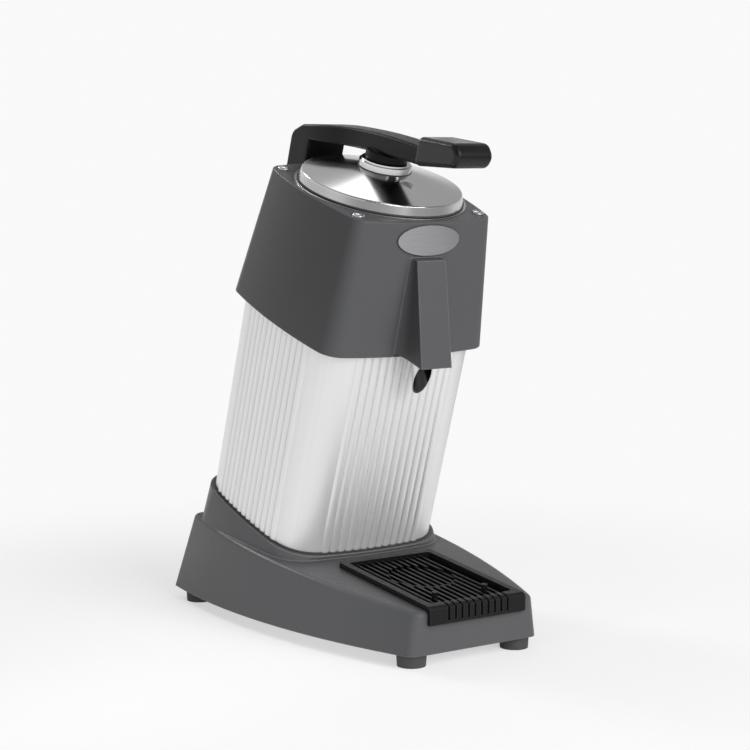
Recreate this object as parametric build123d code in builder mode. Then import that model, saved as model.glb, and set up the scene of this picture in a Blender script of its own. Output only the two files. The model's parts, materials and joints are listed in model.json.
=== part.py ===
from build123d import *

import os
from math import cos, radians, sin, sqrt, tan

os.makedirs("parts", exist_ok=True)

# Millimetres and degrees. X to the right, the front of the press towards -Y, Z up, floor at Z = 0.
# Heights along the leaning column axis start where that axis meets the floor.

# Leaning axis shared by column, motor, bowl and lid
LEAN = 18.0
AXIS_Y = 97.0

# Rubber feet
FOOT_HEIGHT = 12.0
FOOT_RADIUS = 13.0
FOOT_TAPER = 4.0
FOOT_FRONT_X = 58.0
FOOT_FRONT_Y = -171.0
FOOT_REAR_X = 85.0
FOOT_REAR_Y = 161.0
FOOT_SCREW_RADIUS = 2.5
FOOT_SCREW_HEAD_RADIUS = 4.5
FOOT_SCREW_HEAD = 3.0
FOOT_SCREW_RECESS = 3.5
FOOT_BOSS_RADIUS = 8.0
FOOT_THREAD_DEPTH = 14.0

# Base casting
BASE_FRONT_Y = -189.0
BASE_REAR_Y = 193.0
BASE_FRONT_HALF = 70.0
BASE_WAIST_HALF = 109.5
BASE_REAR_HALF = 98.0
BASE_CORNER = 10.0
BASE_DRAFT = 7.7
BASE_RISE = 90.0
BASE_WALL = 4.0
BASE_EDGE = 5.0
DECK_FRONT_HEIGHT = 39.0
DECK_SLOPE = 6.2
COLLAR_FRONT_Y = -25.0
COLLAR_REAR_Y = 165.0
COLLAR_HALF = 97.0
COLLAR_CORNER = 28.0
COLLAR_SINK = 2.0
COLLAR_TOP = 107.0
COLLAR_LIP = 3.0
COLLAR_FLOOR = 16.0
COLLAR_WALL = 5.0
CABLE_HOLE_RADIUS = 50.0
PLATE_THICKNESS = 2.5
PLATE_CLEARANCE = 0.5

# Drip tray in the deck
TRAY_HALF = 53.5
TRAY_LENGTH = 144.0
TRAY_RIM_HEIGHT = 5.0
TRAY_RIM_WIDTH = 7.0
TRAY_SINK = 9.0
TRAY_WALL = 2.0
TRAY_CORNER = 4.0
TRAY_CLEARANCE = 0.3
TRAY_LIP_THICKNESS = 3.7
TRAY_LIP_DROP = 17.0
TRAY_LIP_EDGE = 2.5
RIB_COUNT = 11
RIB_SPACING = 7.3
RIB_WIDTH = 2.4
RIB_BELOW_RIM = 3.0
GLASS_RADIUS = 31.0
GLASS_DEPTH = 2.0
GLASS_Y = 84.0
COMB_COUNT = 10
COMB_WIDTH = 2.6
COMB_DEPTH = 2.0
PEG_X = 28.0
PEG_Y = 25.0
PEG_RADIUS = 2.8
PEG_ABOVE_RIM = 3.0

# Ribbed column
COLUMN_HALF_X = 92.5
COLUMN_HALF_Y = 92.5
COLUMN_BOW = 7.0
COLUMN_CORNER = 38.0
COLUMN_WALL = 6.0
COLUMN_LENGTH = 211.0
COLUMN_RIB_PITCH = 8.5
COLUMN_RIB_DEPTH = 1.8
PORT_X = 67.0
PORT_Y = 66.0
PORT_RADIUS = 13.0
SCREW_RADIUS = 3.0
SCREW_HOLE_RADIUS = 3.2
SCREW_HEAD_RADIUS = 5.5
SCREW_HEAD_HEIGHT = 3.0
SCREW_BITE = 18.0

# Motor inside the column
MOTOR_PLATE = 8.0
MOTOR_PLATE_INSET = 1.0
HUB_RADIUS = 25.0
HUB_HEIGHT = 20.0
BEARING_RADIUS = 20.0
BEARING_WIDTH = 12.0
SHAFT_RADIUS = 8.0
RUNNING_CLEARANCE = 0.05
SEAL_RADIUS = 15.0
SEAL_HEIGHT = 6.0
STATOR_RADIUS = 58.0
STATOR_BORE = 31.5
STATOR_LENGTH = 50.0
WINDING_RADIUS = 52.0
WINDING_HEIGHT = 18.0
WINDING_BORE = 36.0
SHELL_WALL = 4.0
SHELL_HEADROOM = 30.0
SHIELD_THICKNESS = 5.0
SHIELD_HUB_RADIUS = 24.0
ROTOR_GAP = 0.5
SHAFT_TAIL = 32.0
FAN_RADIUS = 50.0
FAN_HUB_RADIUS = 14.0
FAN_DROP = 6.0
FAN_HEIGHT = 14.0
FAN_DISC = 2.0
FAN_BLADES = 9
FAN_BLADE = 2.0

# Electrical pieces on the bottom plate
CAPACITOR_RADIUS = 16.0
CAPACITOR_LENGTH = 70.0
CAPACITOR_Y = 60.0
CLIP_THICKNESS = 1.5
CLIP_WIDTH = 16.0
CLIP_FOOT = 12.0
TERMINAL_LENGTH = 46.0
TERMINAL_DEPTH = 20.0
TERMINAL_HEIGHT = 16.0
TERMINAL_Y = 118.0
TERMINAL_WAYS = 5
TERMINAL_HOLE = 2.2
GROMMET_HEIGHT = 36.0
GROMMET_RADIUS = 8.0
GROMMET_FLANGE_RADIUS = 12.0
GROMMET_FLANGE = 2.0
GROMMET_BORE = 4.0

# Head casing
HEAD_OVERLAP = 6.5
HEAD_HEIGHT = 126.5
HEAD_FOOT_HALF_X = 97.0
HEAD_FOOT_HALF_Y = 97.5
HEAD_FOOT_BOW = 8.0
HEAD_FOOT_CORNER = 22.0
HEAD_CROWN_MARGIN_X = 8.5
HEAD_CROWN_MARGIN_Y = 11.0
HEAD_CROWN_BOW = 9.0
HEAD_CROWN_CORNER = 14.0
HEAD_WALL = 3.2
HEAD_ROOF = 6.0
HEAD_EDGE = 2.0
HEAD_BOSS_RADIUS = 9.0
PAD_HALF = 25.0
PAD_HEIGHT = 44.0
PAD_PROUD = 9.0

# Spout hood on the head
HOOD_LIFT = 3.0
HOOD_HEIGHT = 90.5
HOOD_FOOT_PROUD = 18.0
HOOD_FOOT_HALF = 17.0
HOOD_FOOT_FLARE = 28.0
HOOD_CROWN_PROUD = 11.0
HOOD_CROWN_HALF = 16.0
HOOD_CROWN_FLARE = 9.0
HOOD_SINK = 1.0
HOOD_WALL = 4.0
HOOD_ROOM = 13.0

# Bare oval plate
BADGE_DROP = 16.7
BADGE_HALF_WIDTH = 34.0
BADGE_HALF_HEIGHT = 14.2
BADGE_THICKNESS = 1.6

# Bowl, spout and strainer
BOWL_RADIUS = 75.0
BOWL_DEPTH = 55.0
BOWL_WALL = 1.2
BOWL_FLANGE = 6.5
BOWL_RIM = 3.5
BOWL_CLEARANCE = 1.0
CHIMNEY_RADIUS = 14.0
CHIMNEY_HEIGHT = 11.0
SPOUT_RADIUS = 10.0
SPOUT_WALL = 1.0
SPOUT_FORWARD = 42.0
SPOUT_TIP_DROP = 13.5
SPOUT_SPLAY = 24.0
SPOUT_REACH = 18.0
SPOUT_CUT = 55.0
STRAINER_ROOM = 7.0
STRAINER_FLOOR_RADIUS = 54.0
STRAINER_WALL = 1.2
STRAINER_HEIGHT = 26.0
STRAINER_SLOTS = 20
STRAINER_SLOT_WIDTH = 3.0
STRAINER_SLOT_LENGTH = 24.0
STRAINER_SLOT_RADIUS = 37.0

# Fluted reamer
REAMER_GAP = 3.0
REAMER_HEIGHT = 38.0
REAMER_RADIUS = 33.0
REAMER_CORE_INSET = 5.0
REAMER_TIP_RADIUS = 3.0
REAMER_SHOULDER = 0.62
REAMER_RIBS = 10
REAMER_RIB = 3.0
REAMER_SKIRT = 2.5
REAMER_BORE_DEPTH = 30.0
DRIVE_PIN_RADIUS = 2.5
DRIVE_PIN_HALF = 14.0
DRIVE_PIN_HEIGHT = 8.0

# Lid, press cup and their stud
LID_OVERHANG = 4.0
LID_RIM = 8.3
LID_DRAFT = 2.5
LID_EDGE = 1.7
LID_RISE = 11.5
LID_SHEET = 1.2
LID_LIFT = 0.3
LID_COLLAR_RADIUS = 25.0
LID_COLLAR_HEIGHT = 8.0
LID_FLANGE = 2.0
STUD_RADIUS = 10.0
STUD_COVER = 4.7
HUB_BOSS_RADIUS = 20.0
HUB_BOSS_GAP = 0.5
CUP_RADIUS = 42.0
CUP_WALL = 3.0
CUP_DROP = 22.0
CUP_NECK_RADIUS = 21.0
CUP_ROOF = 9.0
NUT_RADIUS = 14.0
NUT_HEIGHT = 6.0

# Lever
LEVER_OPEN = 65.0
PIVOT_BEHIND = 23.0
PIVOT_DROP = 64.0
POST_HALF_WIDTH = 21.5
POST_HALF_DEPTH = 16.5
POST_RISE = 17.0
ARM_HALF_WIDTH = 13.0
ARM_REAR_RISE = 12.0
ARM_MIDDLE = 20.0
ARM_MIDDLE_RISE = 23.7
ARM_FRONT = 68.0
ARM_FRONT_RISE = 11.6
ARM_DEPTH_MIDDLE = 18.7
ARM_DEPTH_FRONT = 16.8
ARM_DEPTH_ROOT = 11.0
ARM_TAPER_START = 90.0
ARM_TAPER_END = 45.0
ARM_TAPER_BEND = 200.0
SPIGOT_RADIUS = 5.0
SPIGOT_LENGTH = 36.0
SPIGOT_SLOPE = 13.0
SHOULDER_EDGE = 13.0
LEVER_EDGE = 2.5
GRIP_LENGTH = 63.0
GRIP_HALF_WIDTH = 20.5
GRIP_REAR_RISE = 10.7
GRIP_FRONT_RISE = 21.0
GRIP_NOSE_RISE = 11.5
GRIP_BELOW = 0.3
GRIP_EDGE = 5.0
GRIP_NOSE_BEND = 9.0
GRIP_GAP = 0.1

# Lever pivot and start switch
LUG_HALF = 9.8
LUG_RADIUS = 12.0
LUG_CLEARANCE = 0.3
LUG_ROOM = 2.0
BRACKET_PLATE = 3.0
PIN_RADIUS = 5.0
BUSH_RADIUS = 7.0
BRACKET_SCREW_X = 18.0
BRACKET_SCREW_RISE = 16.0
BRACKET_SCREW_RADIUS = 2.0
BRACKET_SCREW_HEAD_RADIUS = 3.5
BRACKET_SCREW_HEAD = 1.0
BRACKET_SCREW_LENGTH = 9.0
PLUNGER_TRAVEL = 3.0
PLUNGER_RADIUS = 2.5
PLUNGER_X = 16.0
PLUNGER_GAP = 0.3
PLUNGER_TAIL = 13.0
SWITCH_WIDTH = 15.0
SWITCH_HEIGHT = 13.0
SWITCH_CLEARANCE = 0.3
SWITCH_ROOM = 0.4

# Reach from the leaning axis, each from the bowl outwards
STRAINER_RADIUS = BOWL_RADIUS - STRAINER_ROOM
BOWL_FLANGE_RADIUS = BOWL_RADIUS + BOWL_FLANGE
LID_RADIUS = BOWL_RADIUS + LID_OVERHANG
HEAD_CROWN_HALF_X = BOWL_RADIUS + HEAD_CROWN_MARGIN_X
HEAD_CROWN_HALF_Y = BOWL_RADIUS + HEAD_CROWN_MARGIN_Y
HOOD_ROOT = HEAD_CROWN_HALF_Y - HOOD_SINK
HOOD_CROWN_FRONT = HEAD_CROWN_HALF_Y + HOOD_CROWN_PROUD
SPOUT_TIP_FRONT = BOWL_RADIUS + SPOUT_FORWARD
HOOD_FOOT_FRONT = SPOUT_TIP_FRONT + HOOD_FOOT_PROUD
PAD_REAR = HEAD_CROWN_HALF_Y + PAD_PROUD
PIVOT_REAR = PAD_REAR + PIVOT_BEHIND

# Heights along the leaning axis, each from the piece below it
COLUMN_TOP = COLLAR_TOP + COLUMN_LENGTH
HEAD_BOTTOM = COLUMN_TOP - HEAD_OVERLAP
HEAD_TOP = HEAD_BOTTOM + HEAD_HEIGHT
HOOD_BOTTOM = HEAD_BOTTOM + HOOD_LIFT
HOOD_TOP = HOOD_BOTTOM + HOOD_HEIGHT
BADGE_HEIGHT = HEAD_TOP - BADGE_DROP
BOWL_BOTTOM = HEAD_TOP - BOWL_DEPTH
SPOUT_TIP_HEIGHT = HEAD_BOTTOM - SPOUT_TIP_DROP
CUP_RIM = HEAD_TOP - CUP_DROP
PIVOT_HEIGHT = HEAD_TOP - PIVOT_DROP
POST_SHOULDER = HEAD_TOP + POST_RISE
ARM_REAR_HEIGHT = POST_SHOULDER + ARM_REAR_RISE
ARM_ROOT_HEIGHT = ARM_REAR_HEIGHT - ARM_DEPTH_ROOT
ARM_MIDDLE_TOP = ARM_REAR_HEIGHT + ARM_MIDDLE_RISE
ARM_FRONT_TOP = ARM_MIDDLE_TOP + ARM_FRONT_RISE
STUD_TOP = ARM_MIDDLE_TOP - STUD_COVER
GRIP_REAR_TOP = ARM_FRONT_TOP + GRIP_REAR_RISE
GRIP_FRONT_TOP = ARM_FRONT_TOP + GRIP_FRONT_RISE
GRIP_NOSE = ARM_FRONT_TOP + GRIP_NOSE_RISE
GRIP_FRONT_BOTTOM = ARM_FRONT_TOP - GRIP_BELOW

# Frames worked out from the driving dimensions
BASE_MIDDLE_Y = (BASE_FRONT_Y + BASE_REAR_Y) / 2
DECK_FRONT_Z = FOOT_HEIGHT + DECK_FRONT_HEIGHT
DECK = Plane(
    origin=(0, BASE_FRONT_Y, DECK_FRONT_Z),
    x_dir=(1, 0, 0),
    z_dir=(0, -sin(radians(DECK_SLOPE)), cos(radians(DECK_SLOPE))),
)
AXIS = Plane(
    origin=(0, AXIS_Y, 0),
    x_dir=(1, 0, 0),
    z_dir=(0, -sin(radians(LEAN)), cos(radians(LEAN))),
)
COLUMN_AXIS = Axis(AXIS.origin, AXIS.z_dir)


def radial_plane(angle):
    """Plane through the leaning axis: local X points away from it, local Y along it."""
    out = AXIS.x_dir.rotate(Axis((0, 0, 0), AXIS.z_dir), angle)
    return Plane(origin=AXIS.origin, x_dir=out, z_dir=out.cross(AXIS.z_dir))


# Side view through the middle: local X to the rear, local Y along the leaning axis
SIDE = radial_plane(90)

PORTS = [(x, y) for x in (-PORT_X, PORT_X) for y in (-PORT_Y, PORT_Y)]
FEET = {
    "foot_front_left": (-FOOT_FRONT_X, FOOT_FRONT_Y),
    "foot_front_right": (FOOT_FRONT_X, FOOT_FRONT_Y),
    "foot_rear_left": (-FOOT_REAR_X, FOOT_REAR_Y),
    "foot_rear_right": (FOOT_REAR_X, FOOT_REAR_Y),
}


def bowed_outline(half_x, half_y, bow, corner):
    """Square with outward-bowed sides and rounded corners."""
    x, y = half_x - bow, half_y - bow
    with BuildSketch() as outline:
        with BuildLine():
            ThreePointArc((-x, -y), (0, -half_y), (x, -y))
            ThreePointArc((x, -y), (half_x, 0), (x, y))
            ThreePointArc((x, y), (0, half_y), (-x, y))
            ThreePointArc((-x, y), (-half_x, 0), (-x, -y))
        make_face()
        fillet(outline.vertices(), corner)
    return outline.sketch


def column_outline(grow):
    """Outside of the column's ribs, moved outwards by grow."""
    return bowed_outline(COLUMN_HALF_X + grow, COLUMN_HALF_Y + grow, COLUMN_BOW, COLUMN_CORNER + grow)


def ring(inner, outer, low, high):
    """Turned ring about the leaning axis, added to the open part between two heights."""
    with BuildSketch(SIDE) as section:
        with Locations(((inner + outer) / 2, (low + high) / 2)):
            Rectangle(outer - inner, high - low)
    revolve(section.sketch, axis=COLUMN_AXIS)


def base_outline(inset, front_y, rear_y):
    """Plan of the base with bowed sides, moved inwards by inset."""
    front, waist, rear = (h - inset for h in (BASE_FRONT_HALF, BASE_WAIST_HALF, BASE_REAR_HALF))
    with BuildSketch() as plan:
        with BuildLine():
            Line((-rear, rear_y), (rear, rear_y))
            ThreePointArc((rear, rear_y), (waist, BASE_MIDDLE_Y), (front, front_y))
            Line((front, front_y), (-front, front_y))
            ThreePointArc((-front, front_y), (-waist, BASE_MIDDLE_Y), (-rear, rear_y))
        make_face()
        fillet(plan.vertices(), BASE_CORNER)
    return plan.sketch


def base_form():
    """Drafted body of the base under its sloping deck; the rear wall leans with the column."""
    with BuildPart() as form:
        for level in (0, BASE_RISE):
            with BuildSketch(Plane.XY.offset(FOOT_HEIGHT + level)):
                rear_y = BASE_REAR_Y - level * tan(radians(LEAN))
                add(base_outline(level * tan(radians(BASE_DRAFT)), BASE_FRONT_Y, rear_y))
        loft()
        split(bisect_by=DECK, keep=Keep.BOTTOM)
        fillet(faces().filter_by(DECK).edges(), BASE_EDGE)
    return form.part


COLLAR_HALF_LENGTH = (COLLAR_REAR_Y - COLLAR_FRONT_Y) / 2 / cos(radians(DECK_SLOPE))
COLLAR_MIDDLE = ((COLLAR_FRONT_Y + COLLAR_REAR_Y) / 2 - BASE_FRONT_Y) / cos(radians(DECK_SLOPE))
COLLAR_FOOT = Plane(DECK.from_local_coords((0, COLLAR_MIDDLE, -COLLAR_SINK)), DECK.x_dir, DECK.z_dir)
TUB_HALF = TRAY_HALF - TRAY_RIM_WIDTH + TRAY_WALL
TUB_START = TRAY_RIM_WIDTH - TRAY_WALL
TUB_END = TRAY_LENGTH - TRAY_RIM_WIDTH + TRAY_WALL
GROMMET_WALL = BASE_WALL
GROMMET_FACE = Plane(
    origin=(0, BASE_REAR_Y - (GROMMET_HEIGHT - FOOT_HEIGHT) * tan(radians(LEAN)), GROMMET_HEIGHT),
    x_dir=(-1, 0, 0),
    z_dir=(0, cos(radians(LEAN)), sin(radians(LEAN))),
)


def pocket_outline(grow):
    """Plan of the tray pocket on the deck, moved outwards by grow."""
    room = TRAY_CLEARANCE + grow
    with BuildSketch() as pocket:
        with Locations((0, (TUB_START + TUB_END) / 2)):
            RectangleRounded(2 * (TUB_HALF + room), TUB_END - TUB_START + 2 * room, TRAY_CORNER + room)
    return pocket.sketch


def base_cavity():
    """Hollow of the base, open below, with a boss over each foot and a well round the tray pocket."""
    with BuildPart() as cavity:
        for level in (0, BASE_RISE):
            with BuildSketch(Plane.XY.offset(FOOT_HEIGHT + level)):
                inset = BASE_WALL + level * tan(radians(BASE_DRAFT))
                rear_y = BASE_REAR_Y - (BASE_WALL / cos(radians(LEAN)) + level * tan(radians(LEAN)))
                add(base_outline(inset, BASE_FRONT_Y + BASE_WALL, rear_y))
        loft()
        split(bisect_by=DECK.offset(-BASE_WALL), keep=Keep.BOTTOM)
        with BuildSketch(Plane.XY.offset(FOOT_HEIGHT + PLATE_THICKNESS)):
            with Locations(*FEET.values()):
                Circle(FOOT_BOSS_RADIUS)
        extrude(amount=BASE_RISE, mode=Mode.SUBTRACT)
        with BuildSketch(DECK):
            add(pocket_outline(BASE_WALL))
        extrude(amount=-TRAY_SINK - BASE_WALL, mode=Mode.SUBTRACT)
    return cavity.part


with BuildPart() as base_housing:
    add(base_form())
    with BuildSketch(COLLAR_FOOT):
        add(bowed_outline(COLLAR_HALF, COLLAR_HALF_LENGTH, COLUMN_BOW, COLLAR_CORNER))
    with BuildSketch(AXIS.offset(COLLAR_TOP)):
        add(column_outline(COLLAR_LIP))
    loft()
    add(base_cavity(), mode=Mode.SUBTRACT)
    with BuildSketch(AXIS):
        Circle(CABLE_HOLE_RADIUS)
    extrude(amount=COLLAR_TOP, mode=Mode.SUBTRACT)
    with BuildSketch(AXIS):
        with Locations(*PORTS):
            Circle(SCREW_HOLE_RADIUS)
    extrude(amount=COLLAR_TOP, mode=Mode.SUBTRACT)
    with BuildSketch(AXIS.offset(COLLAR_TOP - COLLAR_FLOOR)):
        add(column_outline(COLLAR_LIP - COLLAR_WALL))
    extrude(amount=-COLLAR_TOP / 2, mode=Mode.SUBTRACT)
    with BuildSketch(DECK):
        add(pocket_outline(0))
    extrude(amount=-TRAY_SINK, mode=Mode.SUBTRACT)
    with BuildSketch(GROMMET_FACE):
        Circle(GROMMET_RADIUS)
    extrude(amount=-GROMMET_WALL * 2, mode=Mode.SUBTRACT)
    with BuildSketch(Plane.XY.offset(FOOT_HEIGHT)):
        with Locations(*FEET.values()):
            Circle(FOOT_SCREW_RADIUS)
    extrude(amount=PLATE_THICKNESS + FOOT_THREAD_DEPTH, mode=Mode.SUBTRACT)

PLATE_INSET = BASE_WALL + PLATE_CLEARANCE
PLATE_REAR_Y = BASE_REAR_Y - PLATE_INSET / cos(radians(LEAN)) - PLATE_THICKNESS * tan(radians(LEAN))

with BuildPart() as base_plate:
    with BuildSketch(Plane.XY.offset(FOOT_HEIGHT)):
        add(base_outline(PLATE_INSET, BASE_FRONT_Y + PLATE_INSET, PLATE_REAR_Y))
        with Locations(*FEET.values()):
            Circle(FOOT_SCREW_RADIUS, mode=Mode.SUBTRACT)
    extrude(amount=PLATE_THICKNESS)


def rubber_foot(place):
    """Tapered foot with a sunk hole for its screw."""
    with BuildPart() as foot:
        with BuildSketch():
            with Locations(place):
                Circle(FOOT_RADIUS)
        extrude(amount=FOOT_HEIGHT, taper=-FOOT_TAPER)
        with BuildSketch():
            with Locations(place):
                Circle(FOOT_SCREW_HEAD_RADIUS)
        extrude(amount=FOOT_SCREW_RECESS + FOOT_SCREW_HEAD, mode=Mode.SUBTRACT)
        with BuildSketch():
            with Locations(place):
                Circle(FOOT_SCREW_RADIUS)
        extrude(amount=FOOT_HEIGHT, mode=Mode.SUBTRACT)
    return foot.part


with BuildPart() as foot_screws:
    with BuildSketch(Plane.XY.offset(FOOT_SCREW_RECESS)):
        with Locations(*FEET.values()):
            Circle(FOOT_SCREW_HEAD_RADIUS)
    extrude(amount=FOOT_SCREW_HEAD)
    with BuildSketch(Plane.XY.offset(FOOT_SCREW_RECESS + FOOT_SCREW_HEAD)):
        with Locations(*FEET.values()):
            Circle(FOOT_SCREW_RADIUS)
    extrude(amount=FOOT_HEIGHT + PLATE_THICKNESS + FOOT_THREAD_DEPTH - FOOT_SCREW_RECESS - FOOT_SCREW_HEAD)

with BuildPart() as cord_grommet:
    with BuildSketch(GROMMET_FACE):
        Circle(GROMMET_FLANGE_RADIUS)
    extrude(amount=GROMMET_FLANGE)
    with BuildSketch(GROMMET_FACE):
        Circle(GROMMET_RADIUS)
    extrude(amount=-GROMMET_WALL)
    with BuildSketch(GROMMET_FACE.offset(GROMMET_FLANGE)):
        Circle(GROMMET_BORE)
    extrude(amount=-GROMMET_FLANGE - GROMMET_WALL, mode=Mode.SUBTRACT)

PLATE_TOP = FOOT_HEIGHT + PLATE_THICKNESS

with BuildPart() as capacitor:
    with BuildSketch(Plane.YZ.offset(-CAPACITOR_LENGTH / 2)):
        with Locations((CAPACITOR_Y, PLATE_TOP + CAPACITOR_RADIUS)):
            Circle(CAPACITOR_RADIUS)
    extrude(amount=CAPACITOR_LENGTH)
    fillet(edges().filter_by(GeomType.CIRCLE), CLIP_THICKNESS)

with BuildPart() as capacitor_clip:
    with BuildSketch(Plane.YZ.offset(-CLIP_WIDTH / 2)):
        with Locations((CAPACITOR_Y, PLATE_TOP + CAPACITOR_RADIUS)):
            Circle(CAPACITOR_RADIUS + CLIP_THICKNESS)
        with Locations((CAPACITOR_Y, PLATE_TOP + CAPACITOR_RADIUS / 2)):
            Rectangle(2 * (CAPACITOR_RADIUS + CLIP_THICKNESS), CAPACITOR_RADIUS)
        with Locations((CAPACITOR_Y, PLATE_TOP + CLIP_THICKNESS / 2)):
            Rectangle(2 * (CAPACITOR_RADIUS + CLIP_FOOT), CLIP_THICKNESS)
        with Locations((CAPACITOR_Y, PLATE_TOP + CAPACITOR_RADIUS)):
            Circle(CAPACITOR_RADIUS, mode=Mode.SUBTRACT)
        with Locations((CAPACITOR_Y, PLATE_TOP + CAPACITOR_RADIUS / 2)):
            Rectangle(2 * CAPACITOR_RADIUS, CAPACITOR_RADIUS, mode=Mode.SUBTRACT)
        with Locations((CAPACITOR_Y, PLATE_TOP - CAPACITOR_RADIUS)):
            Rectangle(4 * CAPACITOR_RADIUS, 2 * CAPACITOR_RADIUS, mode=Mode.SUBTRACT)
    extrude(amount=CLIP_WIDTH)

with BuildPart() as terminal_block:
    with BuildSketch(Plane.XY.offset(PLATE_TOP)):
        with Locations((0, TERMINAL_Y)):
            Rectangle(TERMINAL_LENGTH, TERMINAL_DEPTH)
    extrude(amount=TERMINAL_HEIGHT)
    with BuildSketch(Plane.XY.offset(PLATE_TOP + TERMINAL_HEIGHT)):
        with Locations((0, TERMINAL_Y)):
            with GridLocations(TERMINAL_LENGTH / TERMINAL_WAYS, 1, TERMINAL_WAYS, 1):
                Circle(TERMINAL_HOLE)
    extrude(amount=-TERMINAL_HEIGHT / 2, mode=Mode.SUBTRACT)

RIM_UNDERSIDE = TRAY_CLEARANCE
TUB_FLOOR = TRAY_CLEARANCE - TRAY_SINK
RIB_TOP = TRAY_RIM_HEIGHT - RIB_BELOW_RIM
WELL_HALF = TUB_HALF - TRAY_WALL
WELL_START = TUB_START + TRAY_WALL
WELL_END = TUB_END - TRAY_WALL
LIP_BACK_Y = BASE_FRONT_Y - TRAY_CLEARANCE
LIP_TOP_Z = DECK_FRONT_Z + TRAY_RIM_HEIGHT

with BuildPart() as drip_tray:
    with BuildSketch(DECK.offset(RIM_UNDERSIDE)):
        with Locations((0, TRAY_LENGTH / 2)):
            RectangleRounded(2 * TRAY_HALF, TRAY_LENGTH, TRAY_CORNER)
        with Locations((0, TRAY_LENGTH / 4)):
            Rectangle(2 * TRAY_HALF, TRAY_LENGTH / 2)
    extrude(amount=TRAY_RIM_HEIGHT - RIM_UNDERSIDE)
    with BuildSketch(DECK.offset(RIM_UNDERSIDE)):
        with Locations((0, (TUB_START + TUB_END) / 2)):
            RectangleRounded(2 * TUB_HALF, TUB_END - TUB_START, TRAY_CORNER)
    extrude(amount=TUB_FLOOR - RIM_UNDERSIDE)
    with BuildSketch(Plane.YZ.offset(-TRAY_HALF)):
        with BuildLine():
            Polyline(
                (LIP_BACK_Y, LIP_TOP_Z - TRAY_LIP_DROP),
                (LIP_BACK_Y, DECK_FRONT_Z + RIM_UNDERSIDE),
                (BASE_FRONT_Y + TRAY_RIM_WIDTH / 2, DECK_FRONT_Z + 2 * RIM_UNDERSIDE + TRAY_LIP_EDGE),
                (BASE_FRONT_Y, LIP_TOP_Z),
                (LIP_BACK_Y - TRAY_LIP_THICKNESS, LIP_TOP_Z - TRAY_LIP_EDGE),
                (LIP_BACK_Y - TRAY_LIP_THICKNESS, LIP_TOP_Z - TRAY_LIP_DROP),
                close=True,
            )
        make_face()
    extrude(amount=2 * TRAY_HALF)
    with BuildSketch(DECK.offset(TRAY_RIM_HEIGHT)):
        with Locations((0, (WELL_START + WELL_END) / 2)):
            RectangleRounded(2 * WELL_HALF, WELL_END - WELL_START, TRAY_CORNER)
    extrude(amount=TUB_FLOOR + TRAY_WALL - TRAY_RIM_HEIGHT, mode=Mode.SUBTRACT)
    with BuildSketch(DECK.offset(TUB_FLOOR + TRAY_WALL)):
        with Locations((0, (WELL_START + WELL_END) / 2)):
            with GridLocations(RIB_SPACING, 1, RIB_COUNT, 1):
                Rectangle(RIB_WIDTH, WELL_END - WELL_START + TRAY_WALL)
    extrude(amount=RIB_TOP - TUB_FLOOR - TRAY_WALL)
    with BuildSketch(DECK.offset(RIB_TOP - GLASS_DEPTH)):
        with Locations((0, GLASS_Y)):
            Circle(GLASS_RADIUS)
    extrude(amount=GLASS_DEPTH + TRAY_WALL, mode=Mode.SUBTRACT)
    with BuildSketch(DECK.offset(TRAY_RIM_HEIGHT - COMB_DEPTH)):
        with Locations((0, WELL_START / 2)):
            with GridLocations(RIB_SPACING, 1, COMB_COUNT, 1):
                Rectangle(COMB_WIDTH, 2 * (WELL_START + TRAY_LIP_THICKNESS))
    extrude(amount=COMB_DEPTH, mode=Mode.SUBTRACT)
    with BuildSketch(Plane.XZ.offset(-LIP_BACK_Y + TRAY_LIP_THICKNESS - COMB_DEPTH)):
        with Locations((0, LIP_TOP_Z - TRAY_LIP_DROP / 2 + COMB_WIDTH)):
            with GridLocations(RIB_SPACING, 1, COMB_COUNT, 1):
                Rectangle(COMB_WIDTH, TRAY_LIP_DROP)
    extrude(amount=COMB_DEPTH, mode=Mode.SUBTRACT)
    with BuildSketch(DECK.offset(TUB_FLOOR + TRAY_WALL)):
        with Locations((-PEG_X, PEG_Y), (PEG_X, PEG_Y)):
            Circle(PEG_RADIUS)
    extrude(amount=TRAY_RIM_HEIGHT + PEG_ABOVE_RIM - TUB_FLOOR - TRAY_WALL)

# Ribs stand side by side along the four sides of the column, and its corners are smooth
with BuildSketch() as groove_plan:
    add(column_outline(-COLUMN_RIB_DEPTH))
groove_line = groove_plan.face().outer_wire()


def rib_crest(side, along):
    """Crest of a rib, set out from the line through the grooves."""
    root = side.position_at(along)
    heading = side.tangent_at(along)
    across = Vector(-heading.Y, heading.X)
    outwards = across if across.dot(root) > 0 else -across
    return root + outwards * COLUMN_RIB_DEPTH


with BuildPart() as column:
    with BuildSketch(AXIS.offset(COLLAR_TOP)):
        with BuildLine():
            for side in groove_line.edges():
                if side.length < COLUMN_HALF_X:
                    add(side)
                    continue
                count = round(side.length / COLUMN_RIB_PITCH)
                for i in range(count):
                    crest = rib_crest(side, (i + 0.5) / count)
                    ThreePointArc(side @ (i / count), crest, side @ ((i + 1) / count))
        make_face()
        add(column_outline(-COLUMN_WALL), mode=Mode.SUBTRACT)
    extrude(amount=COLUMN_TOP - COLLAR_TOP)
    with BuildSketch(AXIS.offset(COLLAR_TOP)):
        with Locations(*PORTS):
            Circle(PORT_RADIUS)
    extrude(amount=COLUMN_TOP - COLLAR_TOP)
    with BuildSketch(AXIS.offset(COLLAR_TOP)):
        with Locations(*PORTS):
            Circle(SCREW_RADIUS)
    extrude(amount=COLUMN_TOP - COLLAR_TOP, mode=Mode.SUBTRACT)

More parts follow.
